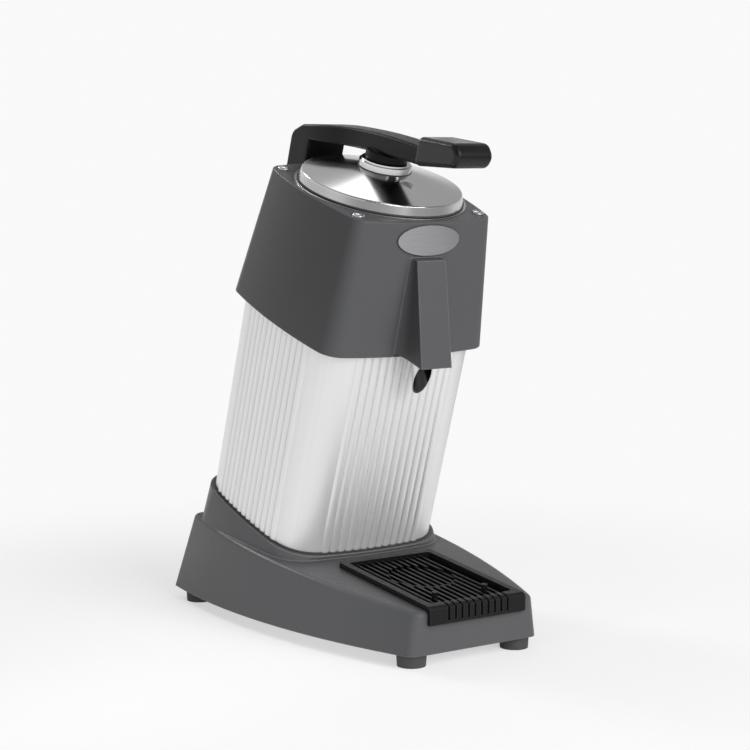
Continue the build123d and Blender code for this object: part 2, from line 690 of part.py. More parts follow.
with BuildPart() as column_screws:
    with BuildSketch(AXIS.offset(COLLAR_TOP - COLLAR_FLOOR)):
        with Locations(*PORTS):
            Circle(SCREW_HEAD_RADIUS)
    extrude(amount=-SCREW_HEAD_HEIGHT)
    with BuildSketch(AXIS.offset(COLLAR_TOP - COLLAR_FLOOR)):
        with Locations(*PORTS):
            Circle(SCREW_RADIUS)
    extrude(amount=COLLAR_FLOOR + SCREW_BITE)

# Motor: plate on the column's end, shell hanging from it, bearings at both ends of the shaft
PLATE_HIGH = COLUMN_TOP + MOTOR_PLATE
HUB_TOP = COLUMN_TOP + HUB_HEIGHT
UPPER_BEARING = HUB_TOP - SEAL_HEIGHT - BEARING_WIDTH
STATOR_TOP = COLUMN_TOP - SHELL_HEADROOM
STATOR_BOTTOM = STATOR_TOP - STATOR_LENGTH
SHELL_BOTTOM = STATOR_BOTTOM - SHELL_HEADROOM
SHIELD_BOTTOM = SHELL_BOTTOM - SHIELD_THICKNESS
SHAFT_FIT = SHAFT_RADIUS + RUNNING_CLEARANCE

with BuildPart() as motor_plate:
    with BuildSketch(AXIS.offset(COLUMN_TOP)):
        add(column_outline(-MOTOR_PLATE_INSET - COLUMN_RIB_DEPTH))
        with Locations(*PORTS):
            Circle(SCREW_HOLE_RADIUS, mode=Mode.SUBTRACT)
    extrude(amount=MOTOR_PLATE)
    ring(0, HUB_RADIUS, COLUMN_TOP, HUB_TOP)
    with BuildSketch(AXIS.offset(COLUMN_TOP)):
        Circle(SHAFT_RADIUS + SHELL_WALL)
    extrude(amount=HUB_HEIGHT, mode=Mode.SUBTRACT)
    with BuildSketch(AXIS.offset(HUB_TOP)):
        Circle(BEARING_RADIUS)
    extrude(amount=-SEAL_HEIGHT - BEARING_WIDTH, mode=Mode.SUBTRACT)

with BuildPart() as upper_bearing:
    ring(SHAFT_FIT, BEARING_RADIUS, UPPER_BEARING, UPPER_BEARING + BEARING_WIDTH)

with BuildPart() as shaft_seal:
    ring(SHAFT_FIT, BEARING_RADIUS, HUB_TOP - SEAL_HEIGHT, HUB_TOP)
    ring(SHAFT_FIT, SEAL_RADIUS, HUB_TOP, HUB_TOP + SEAL_HEIGHT / 2)

with BuildPart() as motor_shell:
    ring(STATOR_RADIUS, STATOR_RADIUS + SHELL_WALL, SHELL_BOTTOM, COLUMN_TOP)

with BuildPart() as stator_core:
    ring(STATOR_BORE, STATOR_RADIUS, STATOR_BOTTOM, STATOR_TOP)

with BuildPart() as stator_windings:
    ring(WINDING_BORE, WINDING_RADIUS, STATOR_TOP, STATOR_TOP + WINDING_HEIGHT)
    ring(WINDING_BORE, WINDING_RADIUS, STATOR_BOTTOM - WINDING_HEIGHT, STATOR_BOTTOM)

with BuildPart() as lower_shield:
    ring(BEARING_RADIUS, STATOR_RADIUS + SHELL_WALL, SHIELD_BOTTOM, SHELL_BOTTOM)
    ring(BEARING_RADIUS, SHIELD_HUB_RADIUS, SHIELD_BOTTOM, SHIELD_BOTTOM + BEARING_WIDTH)

with BuildPart() as lower_bearing:
    ring(SHAFT_FIT, BEARING_RADIUS, SHIELD_BOTTOM, SHIELD_BOTTOM + BEARING_WIDTH)

# Bowl floor, strainer and reamer stack up round the top of the shaft
CHIMNEY_TOP = BOWL_BOTTOM + CHIMNEY_HEIGHT
STRAINER_FLOOR = CHIMNEY_TOP + STRAINER_WALL
REAMER_BASE = STRAINER_FLOOR + REAMER_GAP
REAMER_TIP = REAMER_BASE + REAMER_HEIGHT
SHAFT_TOP = REAMER_BASE + REAMER_BORE_DEPTH
SHAFT_BOTTOM = SHIELD_BOTTOM - SHAFT_TAIL
DRIVE_PIN_LEVEL = REAMER_BASE + DRIVE_PIN_HEIGHT
FAN_TOP = SHIELD_BOTTOM - FAN_DROP

with BuildPart() as motor_shaft:
    ring(0, SHAFT_RADIUS, SHAFT_BOTTOM, SHAFT_TOP)
    with BuildSketch(Plane(AXIS.from_local_coords((0, 0, DRIVE_PIN_LEVEL)), AXIS.y_dir, AXIS.x_dir)):
        Circle(DRIVE_PIN_RADIUS)
    extrude(amount=SHAFT_RADIUS, both=True, mode=Mode.SUBTRACT)

with BuildPart() as rotor:
    ring(SHAFT_RADIUS, STATOR_BORE - ROTOR_GAP, STATOR_BOTTOM, STATOR_TOP)

with BuildPart() as cooling_fan:
    ring(SHAFT_RADIUS, FAN_HUB_RADIUS, FAN_TOP - FAN_HEIGHT, FAN_TOP)
    ring(FAN_HUB_RADIUS, FAN_RADIUS, FAN_TOP - FAN_DISC, FAN_TOP)
    for i in range(FAN_BLADES):
        with BuildSketch(radial_plane(360 * i / FAN_BLADES)):
            with Locations(((FAN_HUB_RADIUS + FAN_RADIUS - FAN_BLADE) / 2, FAN_TOP - FAN_HEIGHT / 2)):
                Rectangle(FAN_RADIUS - FAN_HUB_RADIUS, FAN_HEIGHT)
        extrude(amount=FAN_BLADE / 2, both=True)

with BuildPart() as drive_pin:
    with BuildSketch(Plane(AXIS.from_local_coords((0, 0, DRIVE_PIN_LEVEL)), AXIS.y_dir, AXIS.x_dir)):
        Circle(DRIVE_PIN_RADIUS)
    extrude(amount=DRIVE_PIN_HALF, both=True)


def ogive(base_radius, tip):
    """Half profile of a pointed dome, from the reamer's base up to its tip."""
    shoulder = (base_radius * REAMER_SHOULDER, REAMER_BASE + (tip - REAMER_BASE) * REAMER_SHOULDER)
    with BuildSketch() as profile:
        with BuildLine():
            Polyline((REAMER_TIP_RADIUS, tip), (0, tip), (0, REAMER_BASE), (base_radius, REAMER_BASE))
            ThreePointArc((base_radius, REAMER_BASE), shoulder, (REAMER_TIP_RADIUS, tip))
        make_face()
    return profile.sketch


with BuildPart() as reamer:
    with BuildSketch(SIDE):
        add(ogive(REAMER_RADIUS - REAMER_CORE_INSET, REAMER_TIP - REAMER_CORE_INSET))
    revolve(axis=COLUMN_AXIS)
    for i in range(REAMER_RIBS):
        with BuildSketch(radial_plane(360 * i / REAMER_RIBS)):
            add(ogive(REAMER_RADIUS, REAMER_TIP))
        extrude(amount=REAMER_RIB / 2, both=True)
    ring(0, REAMER_RADIUS + REAMER_RIB, REAMER_BASE, REAMER_BASE + REAMER_SKIRT)
    with BuildSketch(AXIS.offset(REAMER_BASE)):
        Circle(SHAFT_RADIUS)
    extrude(amount=REAMER_BORE_DEPTH, mode=Mode.SUBTRACT)
    with BuildSketch(Plane(AXIS.from_local_coords((0, 0, DRIVE_PIN_LEVEL)), AXIS.y_dir, AXIS.x_dir)):
        Circle(DRIVE_PIN_RADIUS)
    extrude(amount=DRIVE_PIN_HALF, both=True, mode=Mode.SUBTRACT)

# Head casing
PIVOT = Plane(SIDE.from_local_coords((PIVOT_REAR, PIVOT_HEIGHT, 0)), SIDE.x_dir, SIDE.z_dir)
PAD = Plane(SIDE.from_local_coords((PAD_REAR, PIVOT_HEIGHT, 0)), AXIS.x_dir, -AXIS.y_dir)


def head_form(grow):
    """Solid tapered form of the head, moved outwards by grow."""
    with BuildPart() as form:
        with BuildSketch(AXIS.offset(HEAD_BOTTOM)):
            foot_x, foot_y = HEAD_FOOT_HALF_X + grow, HEAD_FOOT_HALF_Y + grow
            add(bowed_outline(foot_x, foot_y, HEAD_FOOT_BOW, HEAD_FOOT_CORNER + grow))
        with BuildSketch(AXIS.offset(HEAD_TOP)):
            crown_x, crown_y = HEAD_CROWN_HALF_X + grow, HEAD_CROWN_HALF_Y + grow
            add(bowed_outline(crown_x, crown_y, HEAD_CROWN_BOW, HEAD_CROWN_CORNER + grow))
        loft()
    return form.part


def head_cavity():
    """Hollow of the head, open below, with a boss left standing round each corner screw."""
    with BuildPart() as cavity:
        add(head_form(-HEAD_WALL))
        split(bisect_by=AXIS.offset(HEAD_TOP - HEAD_ROOF), keep=Keep.BOTTOM)
        with BuildSketch(AXIS.offset(PLATE_HIGH)):
            with Locations(*PORTS):
                Circle(HEAD_BOSS_RADIUS)
        extrude(amount=HEAD_TOP - PLATE_HIGH, mode=Mode.SUBTRACT)
    return cavity.part


def hood_outline(front, half, flare):
    """Plan of the spout hood: a flat front, straight sides and a concave sweep into the head."""
    side = HOOD_ROOT + flare
    bend_x = half + flare * (1 - cos(radians(45)))
    bend_y = side - flare * sin(radians(45))
    with BuildSketch() as plan:
        with BuildLine():
            Polyline((-half, -side), (-half, -front), (half, -front), (half, -side))
            ThreePointArc((half, -side), (bend_x, -bend_y), (half + flare, -HOOD_ROOT))
            Line((half + flare, -HOOD_ROOT), (-half - flare, -HOOD_ROOT))
            ThreePointArc((-half - flare, -HOOD_ROOT), (-bend_x, -bend_y), (-half, -side))
        make_face()
    return plan.sketch


def hood_room():
    """Space inside the hood for the spout, open below and to the bowl behind."""
    slope = (HOOD_FOOT_FRONT - HOOD_CROWN_FRONT) / (HOOD_TOP - HOOD_BOTTOM)
    with BuildPart() as room:
        for height in (HEAD_BOTTOM, HOOD_TOP - HOOD_WALL * 2):
            front = HOOD_FOOT_FRONT - (height - HOOD_BOTTOM) * slope - HOOD_WALL
            with BuildSketch(AXIS.offset(height)):
                with Locations((0, -(front + BOWL_RADIUS) / 2)):
                    Rectangle(2 * HOOD_ROOM, front - BOWL_RADIUS)
        loft()
    return room.part


with BuildPart() as head_casing:
    add(head_form(0))
    fillet(faces().filter_by(AXIS).sort_by(COLUMN_AXIS)[-1].edges(), HEAD_EDGE)
    with BuildSketch(AXIS.offset(HOOD_BOTTOM)):
        add(hood_outline(HOOD_FOOT_FRONT, HOOD_FOOT_HALF, HOOD_FOOT_FLARE))
    with BuildSketch(AXIS.offset(HOOD_TOP)):
        add(hood_outline(HOOD_CROWN_FRONT, HOOD_CROWN_HALF, HOOD_CROWN_FLARE))
    loft()
    with BuildSketch(PAD):
        Rectangle(2 * PAD_HALF, PAD_HEIGHT)
    extrude(amount=PAD_REAR - HOOD_ROOT)
    add(head_cavity(), mode=Mode.SUBTRACT)
    add(hood_room(), mode=Mode.SUBTRACT)
    with BuildSketch(AXIS.offset(HEAD_TOP)):
        Circle(BOWL_RADIUS + BOWL_CLEARANCE)
    extrude(amount=-HEAD_ROOF, mode=Mode.SUBTRACT)
    with BuildSketch(AXIS.offset(HEAD_TOP)):
        with Locations(*PORTS):
            Circle(SCREW_HOLE_RADIUS)
    extrude(amount=PLATE_HIGH - HEAD_TOP, mode=Mode.SUBTRACT)
    with BuildSketch(PAD):
        with Locations((PLUNGER_X, 0)):
            Circle(PLUNGER_RADIUS + LUG_CLEARANCE)
        with GridLocations(2 * BRACKET_SCREW_X, 2 * BRACKET_SCREW_RISE, 2, 2):
            Circle(BRACKET_SCREW_RADIUS)
    extrude(amount=PAD_REAR - HOOD_ROOT + HEAD_WALL, mode=Mode.SUBTRACT)

with BuildPart() as head_screws:
    with BuildSketch(AXIS.offset(HEAD_TOP)):
        with Locations(*PORTS):
            Circle(SCREW_HEAD_RADIUS)
    extrude(amount=SCREW_HEAD_HEIGHT)
    fillet(edges().group_by(COLUMN_AXIS)[-1], SCREW_HEAD_HEIGHT / 2)
    with BuildSketch(AXIS.offset(HEAD_TOP)):
        with Locations(*PORTS):
            Circle(SCREW_RADIUS)
    extrude(amount=COLUMN_TOP - SCREW_BITE - HEAD_TOP)

BADGE = Plane(AXIS.from_local_coords((0, 0, BADGE_HEIGHT)), AXIS.x_dir, -AXIS.y_dir)

with BuildPart() as badge_plate:
    with BuildSketch(BADGE):
        Ellipse(BADGE_HALF_WIDTH, BADGE_HALF_HEIGHT)
    extrude(amount=HEAD_FOOT_HALF_Y)
    add(head_form(BADGE_THICKNESS), mode=Mode.INTERSECT)
    add(head_form(0), mode=Mode.SUBTRACT)

SPOUT_LENGTH = SPOUT_FORWARD / sin(radians(SPOUT_SPLAY)) + SPOUT_REACH
SPOUT_TAIL = SPOUT_RADIUS * tan(radians(SPOUT_CUT))
SPOUT_UP = AXIS.z_dir.rotate(Axis((0, 0, 0), AXIS.x_dir), -SPOUT_SPLAY)
SPOUT_TIP = Plane(SIDE.from_local_coords((-SPOUT_TIP_FRONT, SPOUT_TIP_HEIGHT, 0)), AXIS.x_dir, SPOUT_UP)
SPOUT_END = SPOUT_TIP.rotated((-SPOUT_CUT, 0, 0))
FLANGE_TOP = HEAD_TOP + BOWL_WALL

with BuildPart() as bowl:
    ring(CHIMNEY_RADIUS, BOWL_RADIUS, BOWL_BOTTOM, BOWL_BOTTOM + BOWL_WALL)
    ring(BOWL_RADIUS - BOWL_WALL, BOWL_RADIUS, BOWL_BOTTOM, FLANGE_TOP + BOWL_RIM)
    ring(BOWL_RADIUS, BOWL_FLANGE_RADIUS, HEAD_TOP, FLANGE_TOP)
    ring(CHIMNEY_RADIUS - BOWL_WALL, CHIMNEY_RADIUS, BOWL_BOTTOM, CHIMNEY_TOP)
    with BuildSketch(SPOUT_TIP):
        Circle(SPOUT_RADIUS - SPOUT_WALL)
    extrude(amount=SPOUT_LENGTH - SPOUT_WALL, mode=Mode.SUBTRACT)

with BuildPart() as spout:
    with BuildSketch(SPOUT_TIP.offset(-SPOUT_TAIL)):
        Circle(SPOUT_RADIUS)
    extrude(amount=SPOUT_LENGTH + SPOUT_TAIL)
    with BuildSketch(SPOUT_TIP.offset(-SPOUT_TAIL)):
        Circle(SPOUT_RADIUS - SPOUT_WALL)
    extrude(amount=SPOUT_LENGTH + SPOUT_TAIL - SPOUT_WALL, mode=Mode.SUBTRACT)
    with BuildSketch(AXIS.offset(BOWL_BOTTOM)):
        Circle(BOWL_RADIUS)
    extrude(amount=HEAD_TOP - BOWL_BOTTOM, mode=Mode.SUBTRACT)
    split(bisect_by=SPOUT_END, keep=Keep.TOP)

with BuildPart() as strainer:
    with BuildSketch(SIDE):
        with BuildLine():
            Polyline(
                (CHIMNEY_RADIUS - BOWL_WALL, CHIMNEY_TOP),
                (STRAINER_FLOOR_RADIUS, CHIMNEY_TOP),
                (STRAINER_RADIUS, CHIMNEY_TOP + STRAINER_HEIGHT),
                (STRAINER_RADIUS - STRAINER_WALL, CHIMNEY_TOP + STRAINER_HEIGHT),
                (STRAINER_FLOOR_RADIUS - STRAINER_WALL, STRAINER_FLOOR),
                (CHIMNEY_RADIUS - BOWL_WALL, STRAINER_FLOOR),
                close=True,
            )
        make_face()
    revolve(axis=COLUMN_AXIS)
    with BuildSketch(AXIS.offset(CHIMNEY_TOP)):
        with PolarLocations(STRAINER_SLOT_RADIUS, STRAINER_SLOTS):
            SlotOverall(STRAINER_SLOT_LENGTH, STRAINER_SLOT_WIDTH)
    extrude(amount=STRAINER_WALL, mode=Mode.SUBTRACT)

# Lid and what hangs under the lever
LID_BOTTOM = FLANGE_TOP + LID_LIFT
LID_SHOULDER_RADIUS = LID_RADIUS - LID_DRAFT
LID_CORNER_RADIUS = LID_SHOULDER_RADIUS - LID_EDGE
LID_SHOULDER = LID_BOTTOM + LID_RIM
LID_CORNER = LID_SHOULDER + LID_EDGE
LID_CROWN = LID_CORNER + LID_RISE
COLLAR_HIGH = LID_CROWN + LID_COLLAR_HEIGHT
EDGE_BEND = LID_EDGE * cos(radians(45))
INNER_BEND = (LID_EDGE - LID_SHEET) * cos(radians(45))
CUP_TOP = LID_CROWN - LID_SHEET
CUP_CEILING = CUP_TOP - CUP_ROOF

with BuildPart() as lid:
    with BuildSketch(SIDE):
        with BuildLine():
            Line((LID_RADIUS, LID_BOTTOM), (LID_SHOULDER_RADIUS, LID_SHOULDER))
            ThreePointArc(
                (LID_SHOULDER_RADIUS, LID_SHOULDER),
                (LID_CORNER_RADIUS + EDGE_BEND, LID_SHOULDER + EDGE_BEND),
                (LID_CORNER_RADIUS, LID_CORNER),
            )
            Polyline(
                (LID_CORNER_RADIUS, LID_CORNER),
                (LID_COLLAR_RADIUS, LID_CROWN),
                (STUD_RADIUS, LID_CROWN),
                (STUD_RADIUS, LID_CROWN - LID_SHEET),
                (LID_COLLAR_RADIUS, LID_CROWN - LID_SHEET),
                (LID_CORNER_RADIUS, LID_CORNER - LID_SHEET),
            )
            ThreePointArc(
                (LID_CORNER_RADIUS, LID_CORNER - LID_SHEET),
                (LID_CORNER_RADIUS + INNER_BEND, LID_SHOULDER + INNER_BEND),
                (LID_SHOULDER_RADIUS - LID_SHEET, LID_SHOULDER),
            )
            Polyline(
                (LID_SHOULDER_RADIUS - LID_SHEET, LID_SHOULDER),
                (LID_RADIUS - LID_SHEET, LID_BOTTOM),
                (LID_RADIUS, LID_BOTTOM),
            )
        make_face()
    revolve(axis=COLUMN_AXIS)

with BuildPart() as lid_collar:
    ring(STUD_RADIUS, LID_COLLAR_RADIUS, LID_CROWN, COLLAR_HIGH - LID_FLANGE)
    ring(STUD_RADIUS, LID_COLLAR_RADIUS - LID_FLANGE, COLLAR_HIGH - LID_FLANGE, COLLAR_HIGH)

with BuildPart() as press_cup:
    inner_mid = ((CUP_RADIUS + CUP_NECK_RADIUS) / 2 + CUP_WALL, (CUP_RIM + CUP_CEILING) / 2 + CUP_WALL)
    outer_mid = (inner_mid[0] + CUP_WALL, inner_mid[1] + CUP_WALL)
    with BuildSketch(SIDE):
        with BuildLine():
            Polyline((CUP_RADIUS - CUP_WALL, CUP_RIM), (CUP_RADIUS, CUP_RIM))
            ThreePointArc((CUP_RADIUS, CUP_RIM), outer_mid, (CUP_NECK_RADIUS, CUP_TOP - CUP_WALL))
            Polyline(
                (CUP_NECK_RADIUS, CUP_TOP - CUP_WALL),
                (CUP_NECK_RADIUS, CUP_TOP),
                (STUD_RADIUS, CUP_TOP),
                (STUD_RADIUS, CUP_CEILING),
                (CUP_NECK_RADIUS - CUP_WALL, CUP_CEILING),
            )
            cup_inside = (CUP_NECK_RADIUS - CUP_WALL, CUP_CEILING)
            ThreePointArc(cup_inside, inner_mid, (CUP_RADIUS - CUP_WALL, CUP_RIM))
        make_face()
    revolve(axis=COLUMN_AXIS)

with BuildPart() as press_stud:
    ring(0, STUD_RADIUS, CUP_CEILING - NUT_HEIGHT, STUD_TOP)

with BuildPart() as hub_nut:
    with BuildSketch(AXIS.offset(CUP_CEILING)):
        RegularPolygon(NUT_RADIUS, 6)
        Circle(STUD_RADIUS, mode=Mode.SUBTRACT)
    extrude(amount=-NUT_HEIGHT)

# Lever: its round lower end sits off the pivot by half the plunger's travel and so works as the switch cam
CAM_REAR = PIVOT_REAR - PLUNGER_TRAVEL / 2
CAM_RISE = PLUNGER_TRAVEL / 2 / tan(radians(LEVER_OPEN / 2))
CAM_HEIGHT = PIVOT_HEIGHT + CAM_RISE
POST_BACK = CAM_REAR + POST_HALF_DEPTH
POST_FRONT = CAM_REAR - POST_HALF_DEPTH
POST_TOP_BACK = POST_BACK - POST_HALF_DEPTH
ARM_MIDDLE_BOTTOM = ARM_MIDDLE_TOP - ARM_DEPTH_MIDDLE
ARM_FRONT_BOTTOM = ARM_FRONT_TOP - ARM_DEPTH_FRONT
SPIGOT = Plane(
    SIDE.from_local_coords((-ARM_FRONT, (ARM_FRONT_TOP + ARM_FRONT_BOTTOM) / 2, 0)),
    AXIS.x_dir,
    (-SIDE.x_dir).rotate(Axis((0, 0, 0), AXIS.x_dir), -SPIGOT_SLOPE),
)

with BuildPart() as lever_arm:
    with BuildSketch(SIDE):
        with BuildLine():
            Polyline((POST_BACK, CAM_HEIGHT), (POST_BACK, POST_SHOULDER), (POST_TOP_BACK, ARM_REAR_HEIGHT))
            ThreePointArc(
                (POST_TOP_BACK, ARM_REAR_HEIGHT), (ARM_MIDDLE, ARM_MIDDLE_TOP), (-ARM_FRONT, ARM_FRONT_TOP)
            )
            Line((-ARM_FRONT, ARM_FRONT_TOP), (-ARM_FRONT, ARM_FRONT_BOTTOM))
            ThreePointArc(
                (-ARM_FRONT, ARM_FRONT_BOTTOM),
                (ARM_MIDDLE, ARM_MIDDLE_BOTTOM),
                (POST_FRONT, ARM_ROOT_HEIGHT),
            )
            Line((POST_FRONT, ARM_ROOT_HEIGHT), (POST_FRONT, CAM_HEIGHT))
            cam_low = (CAM_REAR, CAM_HEIGHT - POST_HALF_DEPTH)
            ThreePointArc((POST_FRONT, CAM_HEIGHT), cam_low, (POST_BACK, CAM_HEIGHT))
        make_face()
        post_corner = vertices().group_by(Axis.X)[-1].sort_by(Axis.Y)[-1]
        fillet([post_corner, *vertices().group_by(Axis.X)[-2]], SHOULDER_EDGE)
    extrude(amount=POST_HALF_WIDTH, both=True)
    with BuildSketch(AXIS):
        with BuildLine():
            Polyline(
                (POST_HALF_WIDTH, POST_BACK),
                (POST_HALF_WIDTH, ARM_TAPER_START),
                (ARM_HALF_WIDTH, ARM_TAPER_END),
                (ARM_HALF_WIDTH, -ARM_FRONT),
                (-ARM_HALF_WIDTH, -ARM_FRONT),
                (-ARM_HALF_WIDTH, ARM_TAPER_END),
                (-POST_HALF_WIDTH, ARM_TAPER_START),
                (-POST_HALF_WIDTH, POST_BACK),
                close=True,
            )
        make_face()
        bends = vertices().group_by(Axis.Y)[1:3]
        fillet([*bends[0], *bends[1]], ARM_TAPER_BEND)
    extrude(amount=GRIP_FRONT_TOP, mode=Mode.INTERSECT)
    fillet(edges().filter_by(GeomType.LINE, reverse=True), LEVER_EDGE)
    with BuildSketch(AXIS.offset(COLLAR_HIGH + HUB_BOSS_GAP)):
        Circle(HUB_BOSS_RADIUS)
    extrude(amount=ARM_MIDDLE_BOTTOM + SPIGOT_RADIUS - COLLAR_HIGH - HUB_BOSS_GAP)
    with BuildSketch(SPIGOT):
        Circle(SPIGOT_RADIUS)
    extrude(amount=SPIGOT_LENGTH)
    with BuildSketch(AXIS.offset(STUD_TOP)):
        Circle(STUD_RADIUS)
    extrude(amount=COLLAR_HIGH - STUD_TOP, mode=Mode.SUBTRACT)
    with BuildSketch(PIVOT):
        with Locations((0, (LUG_RADIUS + LUG_ROOM) / 2 - POST_HALF_DEPTH)):
            Rectangle(4 * POST_HALF_DEPTH, LUG_RADIUS + LUG_ROOM + 2 * POST_HALF_DEPTH)
    extrude(amount=LUG_HALF + LUG_CLEARANCE, both=True, mode=Mode.SUBTRACT)
    with BuildSketch(PIVOT):
        Circle(BUSH_RADIUS)
    extrude(amount=POST_HALF_WIDTH, both=True, mode=Mode.SUBTRACT)

GRIP_BACK = -ARM_FRONT - GRIP_GAP
GRIP_FRONT = GRIP_BACK - GRIP_LENGTH

with BuildPart() as lever_grip:
    with BuildSketch(SIDE):
        with BuildLine():
            Polyline(
                (GRIP_FRONT + 2 * GRIP_EDGE, GRIP_FRONT_TOP),
                (GRIP_FRONT, GRIP_NOSE),
                (GRIP_FRONT + GRIP_EDGE, GRIP_FRONT_BOTTOM),
                (GRIP_BACK, ARM_FRONT_BOTTOM),
                (GRIP_BACK, GRIP_REAR_TOP),
                close=True,
            )
        make_face()
        fillet(vertices().sort_by(Axis.X)[:3], GRIP_NOSE_BEND)
    extrude(amount=GRIP_HALF_WIDTH, both=True)
    fillet(edges(), GRIP_EDGE)
    with BuildSketch(SPIGOT):
        Circle(SPIGOT_RADIUS)
    extrude(amount=SPIGOT_LENGTH, mode=Mode.SUBTRACT)

with BuildPart() as pivot_bushes:
    with BuildSketch(PIVOT.offset(LUG_HALF + LUG_CLEARANCE), PIVOT.offset(-POST_HALF_WIDTH)):
        Circle(BUSH_RADIUS)
        Circle(PIN_RADIUS + RUNNING_CLEARANCE, mode=Mode.SUBTRACT)
    extrude(amount=POST_HALF_WIDTH - LUG_HALF - LUG_CLEARANCE)

with BuildPart() as pivot_pin:
    with BuildSketch(PIVOT):
        Circle(PIN_RADIUS)
    extrude(amount=POST_HALF_WIDTH, both=True)

PLATE_BACK = PAD_REAR + BRACKET_PLATE

with BuildPart() as pivot_bracket:
    with BuildSketch(PAD):
        Rectangle(2 * PAD_HALF, PAD_HEIGHT)
        with Locations((PLUNGER_X, 0)):
            Circle(PLUNGER_RADIUS + RUNNING_CLEARANCE, mode=Mode.SUBTRACT)
        with GridLocations(2 * BRACKET_SCREW_X, 2 * BRACKET_SCREW_RISE, 2, 2):
            Circle(BRACKET_SCREW_RADIUS, mode=Mode.SUBTRACT)
    extrude(amount=-BRACKET_PLATE)
    with BuildSketch(PIVOT):
        Circle(LUG_RADIUS)
        with Locations((-(PIVOT_REAR - PLATE_BACK) / 2, 0)):
            Rectangle(PIVOT_REAR - PLATE_BACK, 2 * LUG_RADIUS)
        Circle(PIN_RADIUS, mode=Mode.SUBTRACT)
    extrude(amount=LUG_HALF, both=True)

with BuildPart() as bracket_screws:
    with BuildSketch(PAD.offset(-BRACKET_PLATE)):
        with GridLocations(2 * BRACKET_SCREW_X, 2 * BRACKET_SCREW_RISE, 2, 2):
            Circle(BRACKET_SCREW_HEAD_RADIUS)
    extrude(amount=-BRACKET_SCREW_HEAD)
    with BuildSketch(PAD.offset(-BRACKET_PLATE)):
        with GridLocations(2 * BRACKET_SCREW_X, 2 * BRACKET_SCREW_RISE, 2, 2):
            Circle(BRACKET_SCREW_RADIUS)
    extrude(amount=BRACKET_SCREW_LENGTH)

PLUNGER_TIP = CAM_REAR - sqrt(POST_HALF_DEPTH**2 - CAM_RISE**2) - PLUNGER_GAP
PLUNGER_END = PAD_REAR - PLUNGER_TAIL
HEAD_SLOPE = (HEAD_FOOT_HALF_Y - HEAD_CROWN_HALF_Y) / HEAD_HEIGHT
SWITCH_TOP = PIVOT_HEIGHT + SWITCH_HEIGHT / 2
SWITCH_BOW = HEAD_CROWN_BOW * ((PLUNGER_X + SWITCH_WIDTH / 2) / (HEAD_CROWN_HALF_X - HEAD_CROWN_BOW)) ** 2
WALL_REAR = HEAD_FOOT_HALF_Y - HEAD_SLOPE * (SWITCH_TOP - HEAD_BOTTOM) - HEAD_WALL
SWITCH_REAR = WALL_REAR - SWITCH_BOW - SWITCH_CLEARANCE
SWITCH_DEPTH = SWITCH_REAR - BOWL_RADIUS - SWITCH_CLEARANCE

with BuildPart() as switch_plunger:
    with BuildSketch(PAD.offset(PAD_REAR - PLUNGER_END)):
        with Locations((PLUNGER_X, 0)):
            Circle(PLUNGER_RADIUS)
    extrude(amount=PLUNGER_END - PLUNGER_TIP)
    fillet(edges().group_by(Axis(AXIS.origin, AXIS.y_dir))[-1], PLUNGER_RADIUS / 2)

with BuildPart() as start_switch:
    with BuildSketch(PAD.offset(PAD_REAR - SWITCH_REAR)):
        with Locations((PLUNGER_X, 0)):
            Rectangle(SWITCH_WIDTH, SWITCH_HEIGHT)
    extrude(amount=SWITCH_DEPTH)
    with BuildSketch(PAD.offset(PAD_REAR - SWITCH_REAR)):
        with Locations((PLUNGER_X, 0)):
            Circle(PLUNGER_RADIUS + SWITCH_ROOM)
    extrude(amount=SWITCH_REAR - PLUNGER_END + SWITCH_ROOM, mode=Mode.SUBTRACT)

PIECES = {
    "base_housing": base_housing.part,
    "base_plate": base_plate.part,
    "foot_screws": foot_screws.part,
    "cord_grommet": cord_grommet.part,
    "capacitor": capacitor.part,
    "capacitor_clip": capacitor_clip.part,
    "terminal_block": terminal_block.part,
    "drip_tray": drip_tray.part,
    "column": column.part,
    "column_screws": column_screws.part,
    "motor_plate": motor_plate.part,
    "upper_bearing": upper_bearing.part,
    "shaft_seal": shaft_seal.part,
    "motor_shell": motor_shell.part,
    "stator_core": stator_core.part,
    "stator_windings": stator_windings.part,
    "lower_shield": lower_shield.part,
    "lower_bearing": lower_bearing.part,
    "motor_shaft": motor_shaft.part,
    "rotor": rotor.part,
    "cooling_fan": cooling_fan.part,
    "drive_pin": drive_pin.part,
    "reamer": reamer.part,
    "head_casing": head_casing.part,
    "head_screws": head_screws.part,
    "badge_plate": badge_plate.part,
    "bowl": bowl.part,
    "spout": spout.part,
    "strainer": strainer.part,
    "lid": lid.part,
    "lid_collar": lid_collar.part,
    "press_cup": press_cup.part,
    "press_stud": press_stud.part,
    "hub_nut": hub_nut.part,
    "lever_arm": lever_arm.part,
    "lever_grip": lever_grip.part,
    "pivot_bushes": pivot_bushes.part,
    "pivot_pin": pivot_pin.part,
    "pivot_bracket": pivot_bracket.part,
    "bracket_screws": bracket_screws.part,
    "switch_plunger": switch_plunger.part,
    "start_switch": start_switch.part,
}
for name, place in FEET.items():
    PIECES[name] = rubber_foot(place)

for name, piece in PIECES.items():
    piece.label = name
    export_step(piece, f"parts/{name}.step")
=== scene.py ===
"""Looks of the lever citrus press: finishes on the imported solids, small detail pieces, studio and camera."""

import json
import math

import bmesh
import bpy
from mathutils import Matrix, Vector
from mathutils.bvhtree import BVHTree


